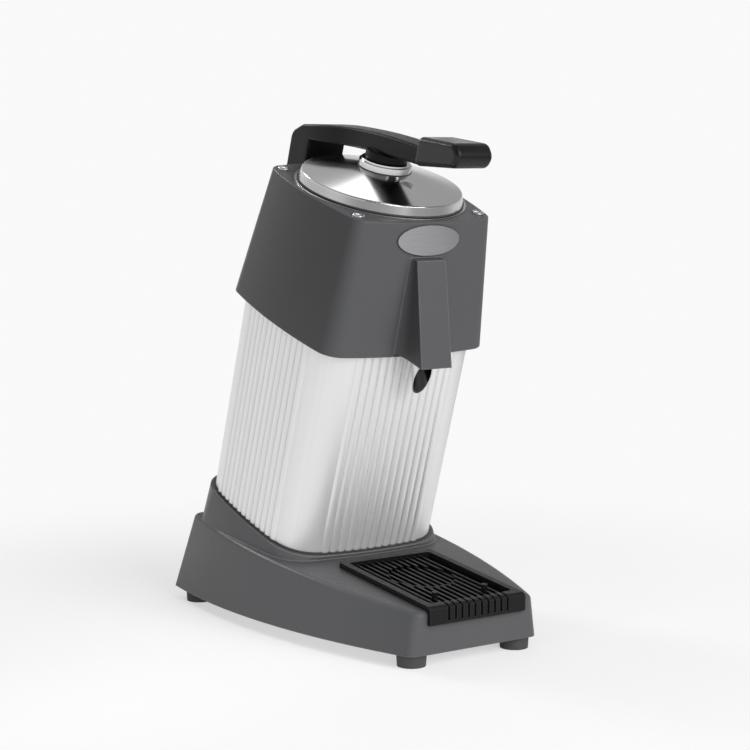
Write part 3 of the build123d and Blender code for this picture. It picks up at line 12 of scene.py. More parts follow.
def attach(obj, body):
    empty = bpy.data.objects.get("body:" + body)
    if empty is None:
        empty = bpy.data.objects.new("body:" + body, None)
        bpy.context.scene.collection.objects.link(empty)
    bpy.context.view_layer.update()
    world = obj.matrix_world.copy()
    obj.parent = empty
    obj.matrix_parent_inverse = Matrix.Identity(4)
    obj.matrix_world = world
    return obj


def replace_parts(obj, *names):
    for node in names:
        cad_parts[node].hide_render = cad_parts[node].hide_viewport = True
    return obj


MM = 0.001

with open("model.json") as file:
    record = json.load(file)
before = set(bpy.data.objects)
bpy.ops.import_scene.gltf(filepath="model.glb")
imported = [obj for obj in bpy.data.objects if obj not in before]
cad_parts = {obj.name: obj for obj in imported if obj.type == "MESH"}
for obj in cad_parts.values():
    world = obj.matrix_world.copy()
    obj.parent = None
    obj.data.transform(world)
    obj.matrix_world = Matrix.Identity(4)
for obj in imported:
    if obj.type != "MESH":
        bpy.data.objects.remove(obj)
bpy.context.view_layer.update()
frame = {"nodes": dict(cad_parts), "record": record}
nodes = frame["nodes"]

# Leaning axis of column, head and lid: it meets the floor here and leans towards the front
LEAN = math.radians(18)
AXIS_FOOT = Vector((0, 97, 0)) * MM
AXIS_FRAME = Matrix.Translation(AXIS_FOOT) @ Matrix.Rotation(LEAN, 4, "X")

# Line through the middle of the spout, from its tip upwards, along which shade is painted inside it
SPOUT_SPLAY = math.radians(24)
SPOUT_TIP = AXIS_FRAME @ (Vector((0, -117, 298)) * MM)
SPOUT_UP = Matrix.Rotation(LEAN - SPOUT_SPLAY, 3, "X") @ Vector((0, 0, 1))
SPOUT_RADIUS = 10.0 * MM

# Camera and studio
CAMERA_PLACE = (-1.0523, -1.5567, 0.4524)
CAMERA_TARGET = (0.006, -0.0211, 0.2414)
CAMERA_LENS = 94.3
SENSOR_WIDTH = 36.0
BACKGROUND = 0.95
AMBIENT = 0.25

# Surroundings in reflections: the level overhead and the shares that are left in front and to the right,
# each with the stretch of the direction's own part, Z, Y or X, over which it changes
CEILING = 0.48
CEILING_STRETCH = (0.08, 0.42)
FRONT_SHARE = 0.42
FRONT_STRETCH = (-0.6, 0.2)
RIGHT_SHARE = 0.80
RIGHT_STRETCH = (0.3, 0.9)

# Floor: its fade is by metres from its middle, and what reflections show of it changes by metres to the right
FLOOR_RADIUS = 8.0
FLOOR_SEGMENTS = 96
FLOOR_PALE = 0.56
FLOOR_GLOW = 0.52
FLOOR_MIRRORED = 0.35
FLOOR_FADE = (0.25, 0.8)
FLOOR_RIGHT = 0.40
FLOOR_RIGHT_STRETCH = (0.2, 1.2)

# Lamps, in metres, watts and degrees
LAMPS = {
    "key": {"place": (0.5, -2.4, 1.6), "target": (0, 0, 0.25), "size": 2.0, "power": 28},
    "fill": {"place": (0.1, -2.3, 0.6), "target": (0, 0, 0.25), "size": 1.6, "power": 38, "mirrored": False},
    "top": {"place": (0.46, 0.49, 1.74), "target": (0, 0, 0.4), "size": 0.45, "power": 1},
    "rim": {"place": (-0.45, 1.5, 1.4), "target": (0, 0, 0.1), "size": 0.4, "power": 8},
    "low": {
        "place": (-1.3, -0.45, 0.25),
        "target": (-0.1, -0.05, 0.0),
        "size": 0.25,
        "power": 0.16,
        "mirrored": False,
        "spread": 24,
    },
}

# Finishes
SHADER_SAMPLES = 6
NOISE_ROUGHNESS = 0.55
# Likeness of a normal to its rounded self, where an edge starts to show and where it shows in full
EDGE_START = 0.985
EDGE_FULL = 0.9
# Painted shade inside a tube: its weight, how a wall faces away from the line, and how far past the radius it
# fades
BORE_WEIGHT = 0.92
BORE_FACING = (-0.7, -0.3)
BORE_MARGIN = 1.1

# Detail pieces, among them dark beads of painted shade in gaps
SMOOTH_ANGLE = math.radians(35)
RAY_START = 300 * MM
BEAD_SIDES = 10
BORDER_POINTS = 180
SHADOW_BEAD_POINTS = 720
LID_POINTS = 180
COLLAR_SHADOW_POINTS = 90
BADGE_HEIGHT = 421.3 * MM
BADGE_HALF_WIDTH = 34.0 * MM
BADGE_HALF_HEIGHT = 14.2 * MM
BORDER_RADIUS = 0.7 * MM
COLLAR_TOP = 107.0 * MM
SHADOW_BEAD_RADIUS = 0.9 * MM
LID_RADIUS = 79.0 * MM
LID_SHADOW_HALF = 0.35 * MM
LID_SHADOW_HEIGHT = 1.5 * MM
COLLAR_RADIUS = 25.0 * MM
COLLAR_SHADOW_RADIUS = 0.7 * MM
SCREW_X = 67.0 * MM
SCREW_Y = 66.0 * MM
SCREW_SHANK = 3.0 * MM
SCREW_HEAD_RADIUS = 5.5 * MM
SCREW_HEAD_HEIGHT = 3.0 * MM
SCREW_EDGE = 0.9 * MM
SCREW_SEGMENTS = 64
SCREW_RINGS = 10
RECESS_REACH = 2.9 * MM
RECESS_DEPTH = 1.7 * MM
# Half a slot's width is two segments of the screw's round, so that the slot's corners fall on its points
RECESS_HALF = RECESS_REACH * math.tan(2 * 2 * math.pi / SCREW_SEGMENTS)
# Stands in for a direction's part that is nearly 0
NEARLY_NOTHING = 1e-6


class Finish:
    """One procedural material: a Principled shader and the textures that feed it."""

    def __init__(self, name, color, roughness, metallic=0.0):
        self.material = bpy.data.materials.new(f"{name}_finish")
        self.material.use_nodes = True
        self.tree = self.material.node_tree
        self.shader = self.tree.nodes["Principled BSDF"]
        self.shader.inputs["Base Color"].default_value = (*color, 1)
        self.shader.inputs["Roughness"].default_value = roughness
        self.shader.inputs["Metallic"].default_value = metallic
        self.place = self.add("ShaderNodeTexCoord").outputs["Object"]

    def add(self, kind, **settings):
        node = self.tree.nodes.new(kind)
        for name, value in settings.items():
            setattr(node, name, value)
        return node

    def link(self, source, target):
        self.tree.links.new(source, target)

    def along_axis(self, stretch):
        """Coordinates with Z along the leaning axis, scaled per direction."""
        upright = self.add("ShaderNodeMapping")
        upright.inputs["Rotation"].default_value = (-LEAN, 0, 0)
        upright.inputs["Location"].default_value = Matrix.Rotation(-LEAN, 3, "X") @ -AXIS_FOOT
        self.link(self.place, upright.inputs["Vector"])
        scaled = self.add("ShaderNodeMapping")
        scaled.inputs["Scale"].default_value = stretch
        self.link(upright.outputs["Vector"], scaled.inputs["Vector"])
        return scaled.outputs["Vector"]

    def noise(self, scale, detail=4.0, vector=None):
        """Cloudy pattern of about 0 to 1, finer with scale."""
        texture = self.add("ShaderNodeTexNoise")
        texture.inputs["Scale"].default_value = scale
        texture.inputs["Detail"].default_value = detail
        texture.inputs["Roughness"].default_value = NOISE_ROUGHNESS
        self.link(vector or self.place, texture.inputs["Vector"])
        return texture.outputs["Fac"]

    def spread(self, source, low, high, start=0.3, end=0.7):
        """Source between start and end mapped to low and high."""
        mapped = self.add("ShaderNodeMapRange")
        mapped.inputs["From Min"].default_value = start
        mapped.inputs["From Max"].default_value = end
        mapped.inputs["To Min"].default_value = low
        mapped.inputs["To Max"].default_value = high
        self.link(source, mapped.inputs["Value"])
        return mapped.outputs["Result"]

    def rounded(self, radius):
        """Normal of the surface as if its edges were rounded."""
        bevel = self.add("ShaderNodeBevel", samples=SHADER_SAMPLES)
        bevel.inputs["Radius"].default_value = radius
        return bevel.outputs["Normal"]

    def edges(self, radius):
        """Mask that is 1 on sharp edges and 0 on flat stretches."""
        likeness = self.add("ShaderNodeVectorMath", operation="DOT_PRODUCT")
        self.link(self.rounded(radius), likeness.inputs[0])
        self.link(self.add("ShaderNodeNewGeometry").outputs["Normal"], likeness.inputs[1])
        return self.spread(likeness.outputs["Value"], 0, 1, EDGE_START, EDGE_FULL)

    def hollows(self, distance):
        """Mask that is 1 in the open and falls to 0 deep in grooves and corners, for painting shade there."""
        shade = self.add("ShaderNodeAmbientOcclusion", samples=SHADER_SAMPLES)
        shade.inputs["Distance"].default_value = distance
        return shade.outputs["AO"]

    def bore(self, start, along, radius):
        """Mask that is high on walls facing a line from start and within radius of it, as inside a tube, for
        painting shade there.
        """
        offset = self.add("ShaderNodeVectorMath", operation="SUBTRACT")
        self.link(self.place, offset.inputs[0])
        offset.inputs[1].default_value = start
        lengthwise = self.add("ShaderNodeVectorMath", operation="PROJECT")
        self.link(offset.outputs["Vector"], lengthwise.inputs[0])
        lengthwise.inputs[1].default_value = along
        across = self.add("ShaderNodeVectorMath", operation="SUBTRACT")
        self.link(offset.outputs["Vector"], across.inputs[0])
        self.link(lengthwise.outputs["Vector"], across.inputs[1])
        reach = self.add("ShaderNodeVectorMath", operation="LENGTH")
        self.link(across.outputs["Vector"], reach.inputs[0])
        outwards = self.add("ShaderNodeVectorMath", operation="NORMALIZE")
        self.link(across.outputs["Vector"], outwards.inputs[0])
        facing = self.add("ShaderNodeVectorMath", operation="DOT_PRODUCT")
        self.link(outwards.outputs["Vector"], facing.inputs[0])
        self.link(self.add("ShaderNodeTexCoord").outputs["Normal"], facing.inputs[1])
        both = self.add("ShaderNodeMath", operation="MULTIPLY")
        self.link(self.spread(facing.outputs["Value"], BORE_WEIGHT, 0, *BORE_FACING), both.inputs[0])
        self.link(self.spread(reach.outputs["Value"], 1, 0, radius, BORE_MARGIN * radius), both.inputs[1])
        return both.outputs["Value"]

    def tint(self, mask, color):
        """Blend towards color where mask is 1, over what the base colour is so far."""
        blend = self.add("ShaderNodeMix", data_type="RGBA")
        target = self.shader.inputs["Base Color"]
        if target.is_linked:
            self.link(target.links[0].from_socket, blend.inputs["A"])
        else:
            blend.inputs["A"].default_value = target.default_value
        blend.inputs["B"].default_value = (*color, 1)
        self.link(mask, blend.inputs["Factor"])
        self.link(blend.outputs["Result"], target)
        return self

    def rough(self, source):
        self.link(source, self.shader.inputs["Roughness"])
        return self

    def bump(self, height, strength, distance, soften=0.0):
        """Surface relief, over edges rounded by soften."""
        relief = self.add("ShaderNodeBump")
        relief.inputs["Strength"].default_value = strength
        relief.inputs["Distance"].default_value = distance
        self.link(height, relief.inputs["Height"])
        if soften:
            self.link(self.rounded(soften), relief.inputs["Normal"])
        self.link(relief.outputs["Normal"], self.shader.inputs["Normal"])
        return self

    def set(self, **sockets):
        """Plain values for shader sockets, whose names have _ in place of spaces."""
        for name, value in sockets.items():
            self.shader.inputs[name.replace("_", " ")].default_value = value
        return self


def casting_grey():
    """Satin textured paint over an aluminium casting, with painted shade in its hollows and a painted
    highlight along its edges.
    """
    finish = Finish("casting_grey", (0.095, 0.096, 0.100), roughness=0.36)
    finish.tint(finish.spread(finish.noise(9.0), 0, 0.3), (0.111, 0.112, 0.116))
    # Painted shade: darker deep in hollows and concave corners
    finish.tint(finish.spread(finish.hollows(0.010), 0.6, 0, start=0.2, end=0.95), (0.030, 0.030, 0.033))
    # Painted highlight: paler along sharp and rounded edges
    finish.tint(finish.spread(finish.edges(0.0022), 0, 0.55, start=0, end=1), (0.26, 0.262, 0.27))
    finish.rough(finish.spread(finish.noise(240.0, detail=2.0), 0.28, 0.38))
    finish.bump(finish.noise(1500.0, detail=2.0), strength=0.10, distance=0.0004, soften=0.0022)
    return finish.set(Specular_IOR_Level=0.2)


def column_aluminium():
    """Bright anodised extrusion with fine drawing lines along it and painted shade in its grooves."""
    finish = Finish("column_aluminium", (0.94, 0.94, 0.94), roughness=0.48, metallic=0.68)
    streaks = finish.noise(420.0, detail=3.0, vector=finish.along_axis((1, 1, 0.012)))
    finish.tint(finish.spread(streaks, 0, 0.25), (0.87, 0.872, 0.875))
    # Painted shade: darker deep in the grooves between the ribs
    finish.tint(finish.spread(finish.hollows(0.004), 0.65, 0, start=0.45, end=0.95), (0.45, 0.45, 0.455))
    finish.rough(finish.spread(streaks, 0.42, 0.54))
    finish.bump(streaks, strength=0.05, distance=0.0003)
    return finish


def polished_steel():
    """Mirror polished stainless sheet with wiping haze, and painted shade inside narrow tubes and seams."""
    finish = Finish("polished_steel", (0.70, 0.70, 0.70), roughness=0.09, metallic=1.0)
    haze = finish.noise(14.0, detail=5.0)
    finish.tint(finish.spread(haze, 0, 0.25), (0.64, 0.64, 0.64))
    # Painted shade: darker deep in hollows and seams
    finish.tint(finish.spread(finish.hollows(0.020), 0.9, 0, start=0.15, end=0.6), (0.03, 0.03, 0.03))
    # Painted shade: darker on the inside walls of the spout
    finish.tint(finish.bore(SPOUT_TIP, SPOUT_UP, SPOUT_RADIUS), (0.03, 0.03, 0.032))
    finish.rough(finish.spread(haze, 0.11, 0.18))
    finish.bump(finish.noise(900.0, detail=2.0), strength=0.012, distance=0.0002)
    return finish


def satin_steel():
    """Stainless sheet with a satin grain."""
    finish = Finish("satin_steel", (0.66, 0.66, 0.67), roughness=0.26, metallic=1.0)
    grain = finish.noise(300.0, detail=2.0, vector=finish.along_axis((0.06, 0.06, 1)))
    finish.tint(finish.spread(grain, 0, 0.3), (0.58, 0.58, 0.59))
    finish.rough(finish.spread(grain, 0.23, 0.30))
    finish.bump(grain, strength=0.02, distance=0.0002, soften=0.0004)
    return finish


def screw_steel():
    """Bright steel of screws, pins, shaft and bearings, with painted shade in recesses."""
    finish = Finish("screw_steel", (0.70, 0.70, 0.72), roughness=0.22, metallic=1.0)
    # Painted shade: darker in recesses and tight corners
    finish.tint(finish.spread(finish.hollows(0.002), 0.7, 0, start=0.3, end=0.95), (0.16, 0.16, 0.17))
    finish.rough(finish.spread(finish.noise(700.0), 0.15, 0.34))
    finish.bump(finish.noise(1800.0, detail=2.0), strength=0.05, distance=0.0002, soften=0.0004)
    return finish


def lever_black():
    """Satin black paint with a fine leather-like cast texture and a painted highlight on its edges."""
    finish = Finish("lever_black", (0.007, 0.007, 0.0075), roughness=0.34)
    finish.tint(finish.spread(finish.noise(40.0), 0, 0.5), (0.011, 0.011, 0.012))
    # Painted highlight: paler along sharp edges
    finish.tint(finish.spread(finish.edges(0.0012), 0, 0.30, start=0, end=1), (0.055, 0.055, 0.058))
    finish.rough(finish.spread(finish.noise(260.0), 0.28, 0.42))
    finish.bump(finish.noise(1400.0, detail=2.0), strength=0.08, distance=0.0004, soften=0.0015)
    return finish.set(Specular_IOR_Level=0.15)


def grip_black():
    """Smooth moulded plastic, polished where the hand rubs it."""
    finish = Finish("grip_black", (0.006, 0.006, 0.0065), roughness=0.26)
    finish.tint(finish.spread(finish.noise(55.0), 0, 0.5), (0.009, 0.009, 0.010))
    finish.rough(finish.spread(finish.noise(60.0), 0.18, 0.34))
    finish.bump(finish.noise(900.0, detail=2.0), strength=0.035, distance=0.0003, soften=0.0010)
    return finish.set(Specular_IOR_Level=0.35)


def tray_black():
    """Moulded plastic with a fine spark-eroded grain, a painted highlight on its rib crests and painted shade
    between the ribs.
    """
    finish = Finish("tray_black", (0.007, 0.007, 0.0074), roughness=0.34)
    # Painted highlight: paler on the rib crests
    finish.tint(finish.spread(finish.edges(0.0008), 0, 0.6, start=0, end=1), (0.07, 0.07, 0.072))
    # Painted shade: darker deep between the ribs
    finish.tint(finish.spread(finish.hollows(0.008), 0.8, 0, start=0.2, end=0.9), (0.002, 0.002, 0.002))
    finish.rough(finish.spread(finish.noise(300.0), 0.26, 0.44))
    finish.bump(finish.noise(1700.0, detail=2.0), strength=0.08, distance=0.0003, soften=0.0008)
    return finish.set(Specular_IOR_Level=0.22)


def foot_rubber():
    """Matt rubber with dust in its pores."""
    finish = Finish("foot_rubber", (0.058, 0.058, 0.058), roughness=0.70)
    finish.tint(finish.spread(finish.noise(180.0), 0, 0.5), (0.070, 0.069, 0.067))
    finish.rough(finish.spread(finish.noise(90.0), 0.58, 0.80))
    finish.bump(finish.noise(900.0), strength=0.22, distance=0.0004, soften=0.0008)
    return finish


def plate_steel():
    """Zinc plated sheet with the spangle of its plating."""
    finish = Finish("plate_steel", (0.30, 0.30, 0.32), roughness=0.45, metallic=0.8)
    finish.tint(finish.spread(finish.noise(55.0, detail=6.0), 0, 0.6), (0.42, 0.42, 0.44))
    finish.rough(finish.spread(finish.noise(200.0), 0.36, 0.55))
    finish.bump(finish.noise(300.0), strength=0.06, distance=0.0002, soften=0.0006)
    return finish


def food_plastic():
    """Ivory food plastic, slightly translucent and faintly stained by juice."""
    finish = Finish("food_plastic", (0.74, 0.72, 0.65), roughness=0.30)
    finish.tint(finish.spread(finish.noise(35.0, detail=6.0), 0, 0.5), (0.74, 0.68, 0.52))
    finish.rough(finish.spread(finish.noise(120.0), 0.22, 0.38))
    finish.bump(finish.noise(500.0), strength=0.05, distance=0.0003, soften=0.0008)
    return finish.set(Subsurface_Weight=0.08, Subsurface_Scale=0.004)


def motor_iron():
    """Stacked steel laminations: thin level lines and a little rust bloom."""
    finish = Finish("motor_iron", (0.20, 0.20, 0.21), roughness=0.5, metallic=0.85)
    sheets = finish.noise(900.0, detail=1.0, vector=finish.along_axis((0.02, 0.02, 1)))
    finish.tint(finish.spread(sheets, 0, 0.6), (0.10, 0.10, 0.11))
    rust = finish.spread(finish.noise(45.0, detail=6.0), 0, 0.35, start=0.5, end=0.8)
    finish.tint(rust, (0.20, 0.10, 0.06))
    finish.rough(finish.spread(sheets, 0.42, 0.62))
    return finish.bump(sheets, strength=0.25, distance=0.0002)


def motor_alloy():
    """Raw cast alloy with a grainy skin."""
    finish = Finish("motor_alloy", (0.56, 0.57, 0.58), roughness=0.5, metallic=1.0)
    finish.tint(finish.spread(finish.noise(130.0, detail=6.0), 0, 0.5), (0.42, 0.43, 0.44))
    finish.rough(finish.spread(finish.noise(400.0), 0.42, 0.62))
    return finish.bump(finish.noise(800.0), strength=0.16, distance=0.0003, soften=0.0008)


def copper():
    """Lacquered copper wire wound round the axis."""
    finish = Finish("copper", (0.62, 0.27, 0.13), roughness=0.32, metallic=1.0)
    turns = finish.noise(1100.0, detail=1.0, vector=finish.along_axis((0.04, 0.04, 1)))
    finish.tint(finish.spread(turns, 0, 0.7), (0.34, 0.12, 0.05))
    finish.rough(finish.spread(turns, 0.24, 0.42))
    finish.bump(turns, strength=0.6, distance=0.0006)
    return finish.set(Coat_Weight=0.4, Coat_Roughness=0.15)


def device_plastic():
    """Dark moulded plastic of the electrical pieces and the fan, also used for the dark bead of painted shade
    round the oval plate.
    """
    finish = Finish("device_plastic", (0.055, 0.055, 0.06), roughness=0.42)
    finish.tint(finish.spread(finish.noise(90.0), 0, 0.4), (0.075, 0.075, 0.08))
    finish.rough(finish.spread(finish.noise(260.0), 0.34, 0.5))
    return finish.bump(finish.noise(1000.0), strength=0.08, distance=0.0003, soften=0.0005)


def bush_bronze():
    """Porous sintered bronze."""
    finish = Finish("bush_bronze", (0.52, 0.36, 0.16), roughness=0.42, metallic=1.0)
    finish.tint(finish.spread(finish.noise(1200.0), 0, 0.6, start=0.5, end=0.75), (0.20, 0.13, 0.06))
    finish.rough(finish.spread(finish.noise(300.0), 0.34, 0.52))
    return finish.bump(finish.noise(1600.0), strength=0.18, distance=0.0002, soften=0.0004)


def badge_metal():
    """Bare satin plate brushed across."""
    finish = Finish("badge_metal", (0.41, 0.41, 0.42), roughness=0.26, metallic=1.0)
    brushed = finish.noise(900.0, detail=3.0, vector=finish.along_axis((0.03, 1, 1)))
    finish.tint(finish.spread(brushed, 0, 0.3), (0.36, 0.36, 0.37))
    finish.rough(finish.spread(brushed, 0.20, 0.36))
    return finish.bump(brushed, strength=0.06, distance=0.0002, soften=0.0004)


FINISHES = {
    make.__name__: make().material
    for make in (
        casting_grey,
        column_aluminium,
        polished_steel,
        satin_steel,
        screw_steel,
        lever_black,
        grip_black,
        tray_black,
        foot_rubber,
        plate_steel,
        food_plastic,
        motor_iron,
        motor_alloy,
        copper,
        device_plastic,
        bush_bronze,
        badge_metal,
    )
}

for piece in frame["record"]["subparts"]:
    node = nodes[piece["node"]]
    node.data.materials.clear()
    node.data.materials.append(FINISHES[piece["material_slot"]])


def detail(name, build, body, slot):
    """Turn a bmesh into a piece that rides on a body and has a slot's finish."""
    mesh = bpy.data.meshes.new(name)
    bmesh.ops.recalc_face_normals(build, faces=build.faces)
    build.to_mesh(mesh)
    build.free()
    mesh.shade_smooth()
    mesh.set_sharp_from_angle(angle=SMOOTH_ANGLE)
    mesh.materials.append(FINISHES[slot])
    piece = bpy.data.objects.new(name, mesh)
    bpy.context.scene.collection.objects.link(piece)
    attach(piece, body)
    return piece


def compass(count):
    """Unit directions all round, as (x, y) pairs."""
    turns = [2 * math.pi * i / count for i in range(count)]
    return [(math.cos(turn), math.sin(turn)) for turn in turns]


def loft(build, rings, closed=False):
    """Faces from each ring of points to the next, where a ring of one point closes an end."""
    loops = [[build.verts.new(point) for point in ring] for ring in rings]
    if closed:
        loops.append(loops[0])
    for low, high in zip(loops, loops[1:]):
        count = max(len(low), len(high))
        for i in range(count):
            j = (i + 1) % count
            corners = (low[i % len(low)], low[j % len(low)], high[j % len(high)], high[i % len(high)])
            build.faces.new(tuple(dict.fromkeys(corners)))


def turned(profile, segments):
    """Rings about the leaning axis from (radius, height) pairs, a radius of 0 giving a single point."""
    return [
        [AXIS_FRAME @ Vector((radius * x, radius * y, height)) for x, y in compass(segments if radius else 1)]
        for radius, height in profile
    ]


def bead(build, centres, radius):
    """Closed round bead that follows a ring of points."""
    rings = []
    for i, centre in enumerate(centres):
        along = (centres[(i + 1) % len(centres)] - centres[i - 1]).normalized()
        across = along.cross(AXIS_FRAME.to_3x3() @ Vector((0, 0, 1))).normalized()
        up = across.cross(along)
        rings.append([centre + radius * (x * across + y * up) for x, y in compass(BEAD_SIDES)])
    loft(build, rings, closed=True)


def skin(node):
    """Search tree of a CAD node's surface, for casting rays at it."""
    build = bmesh.new()
    build.from_mesh(nodes[node].data)
    tree = BVHTree.FromBMesh(build)
    build.free()
    return tree


def heights(node):
    """Lowest and highest point of a CAD node along the leaning axis."""
    upright = AXIS_FRAME.inverted()
    levels = [(upright @ vertex.co).z for vertex in nodes[node].data.vertices]
    return min(levels), max(levels)


def badge_border():
    """Dark bead round the bare oval plate: painted shade in the gap where the plate meets the head."""
    head = skin("head_casing")
    rearwards = AXIS_FRAME.to_3x3() @ Vector((0, 1, 0))
    centres = []
    for x, y in compass(BORDER_POINTS):
        start = AXIS_FRAME @ Vector((BADGE_HALF_WIDTH * x, -RAY_START, BADGE_HEIGHT + BADGE_HALF_HEIGHT * y))
        centres.append(head.ray_cast(start, rearwards)[0])
    build = bmesh.new()
    # Painted shade: a dark bead in place of the shadowed gap round the plate
    bead(build, centres, BORDER_RADIUS)
    detail("badge_border", build, "stand", "device_plastic")


def column_shadow_bead():
    """Dark bead of painted shade that shows as a dark line where the column stands on its collar."""
    wall = skin("column")
    centres = []
    for x, y in compass(SHADOW_BEAD_POINTS):
        start = AXIS_FRAME @ Vector((RAY_START * x, RAY_START * y, COLLAR_TOP + SHADOW_BEAD_RADIUS))
        centres.append(wall.ray_cast(start, AXIS_FRAME.to_3x3() @ Vector((-x, -y, 0)))[0])
    build = bmesh.new()
    bead(build, centres, SHADOW_BEAD_RADIUS)
    # Painted shade: a dark bead in place of the shadowed gap at the column's foot
    detail("column_shadow_bead", build, "stand", "foot_rubber")


def lid_shadow_ring():
    """Dark ring of painted shade round the lower rim of the lid, where it meets the flange."""
    low = heights("lid")[0]
    profile = [
        (LID_RADIUS - LID_SHADOW_HALF, low),
        (LID_RADIUS + LID_SHADOW_HALF, low),
        (LID_RADIUS + LID_SHADOW_HALF, low + LID_SHADOW_HEIGHT - LID_SHADOW_HALF),
        (LID_RADIUS - LID_SHADOW_HALF, low + LID_SHADOW_HEIGHT),
    ]
    build = bmesh.new()
    loft(build, turned(profile, LID_POINTS), closed=True)
    # Painted shade: a dark ring in place of the shadowed gap under the lid's rim
    detail("lid_shadow_ring", build, "lever", "foot_rubber")


def collar_shadow_ring():
    """Dark ring of painted shade in the gap under the turned collar on the lid."""
    low = heights("lid_collar")[0]
    centres = turned([(COLLAR_RADIUS, low)], COLLAR_SHADOW_POINTS)[0]
    build = bmesh.new()
    bead(build, centres, COLLAR_SHADOW_RADIUS)
    # Painted shade: a dark bead in place of the shadowed gap at the collar's foot
    detail("collar_shadow_ring", build, "lever", "foot_rubber")


def recess(x, y):
    """How far a screw's cross recess reaches in the direction (x, y)."""
    x = max(abs(x), NEARLY_NOTHING)
    y = max(abs(y), NEARLY_NOTHING)
    return max(min(RECESS_REACH / x, RECESS_HALF / y), min(RECESS_HALF / x, RECESS_REACH / y))


def head_screws():
    """Four domed screws with a cross recess."""
    low, high = heights("head_screws")
    seat = high - SCREW_HEAD_HEIGHT
    floor = high - RECESS_DEPTH
    rounds = compass(SCREW_SEGMENTS)
    shank = [(0, low), (SCREW_SHANK, low), (SCREW_SHANK, seat), (SCREW_HEAD_RADIUS, seat)]
    rings = turned(shank, SCREW_SEGMENTS)
    for step in range(SCREW_RINGS + 1):
        inwards = 1 - math.cos(math.pi / 2 * step / SCREW_RINGS)
        ring = []
        for x, y in rounds:
            radius = SCREW_HEAD_RADIUS + (recess(x, y) - SCREW_HEAD_RADIUS) * inwards
            rise = math.sqrt(1 - (radius / SCREW_HEAD_RADIUS) ** 2)
            height = seat + SCREW_EDGE + (SCREW_HEAD_HEIGHT - SCREW_EDGE) * rise
            ring.append(AXIS_FRAME @ Vector((radius * x, radius * y, height)))
        rings.append(ring)
    rings.append([AXIS_FRAME @ Vector((recess(x, y) * x, recess(x, y) * y, floor)) for x, y in rounds])
    rings.append([AXIS_FRAME @ Vector((0, 0, floor))])
    build = bmesh.new()
    for x in (-SCREW_X, SCREW_X):
        for y in (-SCREW_Y, SCREW_Y):
            shift = AXIS_FRAME.to_3x3() @ Vector((x, y, 0))
            loft(build, [[point + shift for point in ring] for ring in rings])
    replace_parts(detail("head_screw_heads", build, "stand", "screw_steel"), "head_screws")


def rays(tree):
    """Mask of rays that look straight or through something, and mask of rays that look in a reflection."""
    path = tree.nodes.new("ShaderNodeLightPath")
    straight = tree.nodes.new("ShaderNodeMath")
    straight.operation = "MAXIMUM"
    tree.links.new(path.outputs["Is Camera Ray"], straight.inputs[0])
    tree.links.new(path.outputs["Is Transmission Ray"], straight.inputs[1])
    return straight.outputs["Value"], path.outputs["Is Glossy Ray"]


def choose(tree, mask, plain, special):
    """Plain value where mask is 0 and special value, a number or a socket, where it is 1."""
    blend = tree.nodes.new("ShaderNodeMix")
    for socket, value in ((blend.inputs["A"], plain), (blend.inputs["B"], special)):
        if isinstance(value, bpy.types.NodeSocket):
            tree.links.new(value, socket)
        else:
            socket.default_value = value
    tree.links.new(mask, blend.inputs["Factor"])
    return blend.outputs["Result"]


def ramp(tree, source, stretch, low, high):
    """Smooth passage from low to high as source runs through a stretch."""
    mapped = tree.nodes.new("ShaderNodeMapRange")
    mapped.interpolation_type = "SMOOTHSTEP"
    mapped.inputs["From Min"].default_value, mapped.inputs["From Max"].default_value = stretch
    mapped.inputs["To Min"].default_value = low
    mapped.inputs["To Max"].default_value = high
    tree.links.new(source, mapped.inputs["Value"])
    return mapped.outputs["Result"]


def surroundings():
    """White all round, but in reflections darker above, in front and to the right."""
    world = bpy.data.worlds.new("studio")
    bpy.context.scene.world = world
    world.use_nodes = True
    tree = world.node_tree
    heading = tree.nodes.new("ShaderNodeTexCoord")
    parts = tree.nodes.new("ShaderNodeSeparateXYZ")
    tree.links.new(heading.outputs["Generated"], parts.inputs["Vector"])
    around = ramp(tree, parts.outputs["Z"], CEILING_STRETCH, BACKGROUND, CEILING)
    for side in (
        ramp(tree, parts.outputs["Y"], FRONT_STRETCH, FRONT_SHARE, 1),
        ramp(tree, parts.outputs["X"], RIGHT_STRETCH, 1, RIGHT_SHARE),
    ):
        dimmed = tree.nodes.new("ShaderNodeMath")
        dimmed.operation = "MULTIPLY"
        tree.links.new(around, dimmed.inputs[0])
        tree.links.new(side, dimmed.inputs[1])
        around = dimmed.outputs["Value"]
    straight, mirrored = rays(tree)
    level = choose(tree, straight, choose(tree, mirrored, AMBIENT, around), BACKGROUND)
    shade = tree.nodes["Background"]
    shade.inputs["Color"].default_value = (1, 1, 1, 1)
    tree.links.new(level, shade.inputs["Strength"])


def floor_disc():
    """Round floor under the press."""
    mesh = bpy.data.meshes.new("floor")
    build = bmesh.new()
    bmesh.ops.create_circle(build, cap_ends=True, segments=FLOOR_SEGMENTS, radius=FLOOR_RADIUS)
    build.to_mesh(mesh)
    build.free()
    floor = bpy.data.objects.new("floor", mesh)
    bpy.context.scene.collection.objects.link(floor)
    floor.data.materials.append(floor_finish())


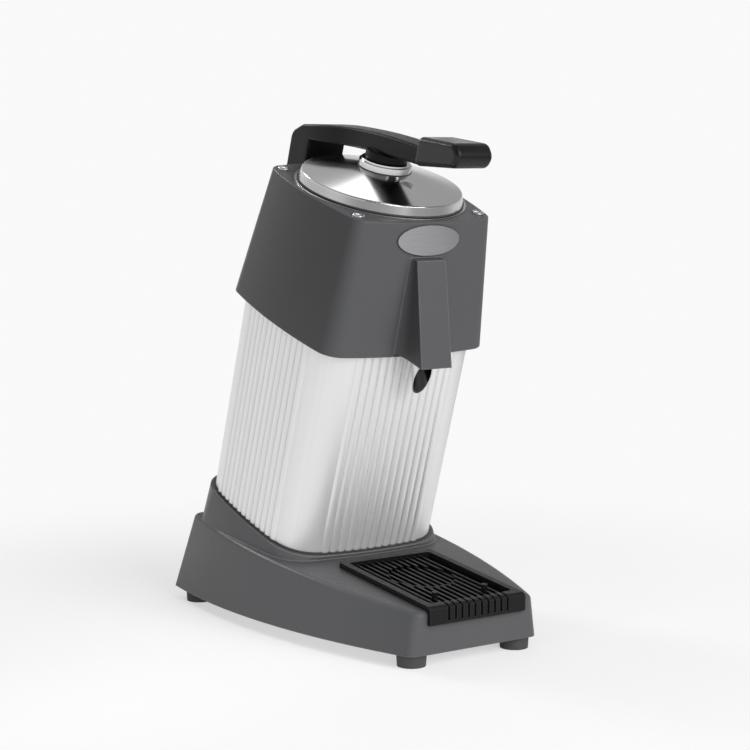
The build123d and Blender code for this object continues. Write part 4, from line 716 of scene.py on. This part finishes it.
def floor_finish():
    """Pale matt floor that fades into the white surroundings, and in reflections gets darker to the right."""
    material = bpy.data.materials.new("floor_pale")
    material.use_nodes = True
    tree = material.node_tree
    tree.nodes.remove(tree.nodes["Principled BSDF"])
    straight, mirrored = rays(tree)
    matt = tree.nodes.new("ShaderNodeBsdfDiffuse")
    matt.inputs["Color"].default_value = (FLOOR_PALE, FLOOR_PALE, FLOOR_PALE, 1)
    glow = tree.nodes.new("ShaderNodeEmission")
    level = choose(tree, straight, choose(tree, mirrored, 0, FLOOR_MIRRORED), FLOOR_GLOW)
    tree.links.new(level, glow.inputs["Strength"])
    near = tree.nodes.new("ShaderNodeAddShader")
    tree.links.new(matt.outputs["BSDF"], near.inputs[0])
    tree.links.new(glow.outputs["Emission"], near.inputs[1])
    far = tree.nodes.new("ShaderNodeEmission")
    place = tree.nodes.new("ShaderNodeTexCoord")
    parts = tree.nodes.new("ShaderNodeSeparateXYZ")
    tree.links.new(place.outputs["Object"], parts.inputs["Vector"])
    around = ramp(tree, parts.outputs["X"], FLOOR_RIGHT_STRETCH, BACKGROUND, FLOOR_RIGHT)
    level = choose(tree, straight, choose(tree, mirrored, AMBIENT, around), BACKGROUND)
    tree.links.new(level, far.inputs["Strength"])
    reach = tree.nodes.new("ShaderNodeVectorMath")
    reach.operation = "LENGTH"
    tree.links.new(place.outputs["Object"], reach.inputs[0])
    mix = tree.nodes.new("ShaderNodeMixShader")
    tree.links.new(ramp(tree, reach.outputs["Value"], FLOOR_FADE, 0, 1), mix.inputs["Fac"])
    tree.links.new(near.outputs["Shader"], mix.inputs[1])
    tree.links.new(far.outputs["Emission"], mix.inputs[2])
    tree.links.new(mix.outputs["Shader"], tree.nodes["Material Output"].inputs["Surface"])
    return material


def lamp(name, place, target, size, power, mirrored=True, spread=180):
    """Soft square lamp that shines at target within spread degrees and shows in reflections if mirrored."""
    light = bpy.data.lights.new(name, "AREA")
    light.size = size
    light.energy = power
    light.spread = math.radians(spread)
    holder = bpy.data.objects.new(name, light)
    holder.location = place
    holder.rotation_euler = (Vector(target) - Vector(place)).to_track_quat("-Z", "Y").to_euler()
    holder.visible_glossy = mirrored
    bpy.context.scene.collection.objects.link(holder)


def camera():
    """Camera at the photograph's viewing angle."""
    lens = bpy.data.cameras.new("camera")
    lens.lens = CAMERA_LENS
    lens.sensor_width = SENSOR_WIDTH
    holder = bpy.data.objects.new("camera", lens)
    holder.location = CAMERA_PLACE
    holder.rotation_euler = (Vector(CAMERA_TARGET) - Vector(CAMERA_PLACE)).to_track_quat("-Z", "Y").to_euler()
    bpy.context.scene.collection.objects.link(holder)
    bpy.context.scene.camera = holder


badge_border()
column_shadow_bead()
lid_shadow_ring()
collar_shadow_ring()
head_screws()
surroundings()
floor_disc()
for name, settings in LAMPS.items():
    lamp(name, **settings)
camera()
bpy.context.scene.view_settings.view_transform = "Standard"
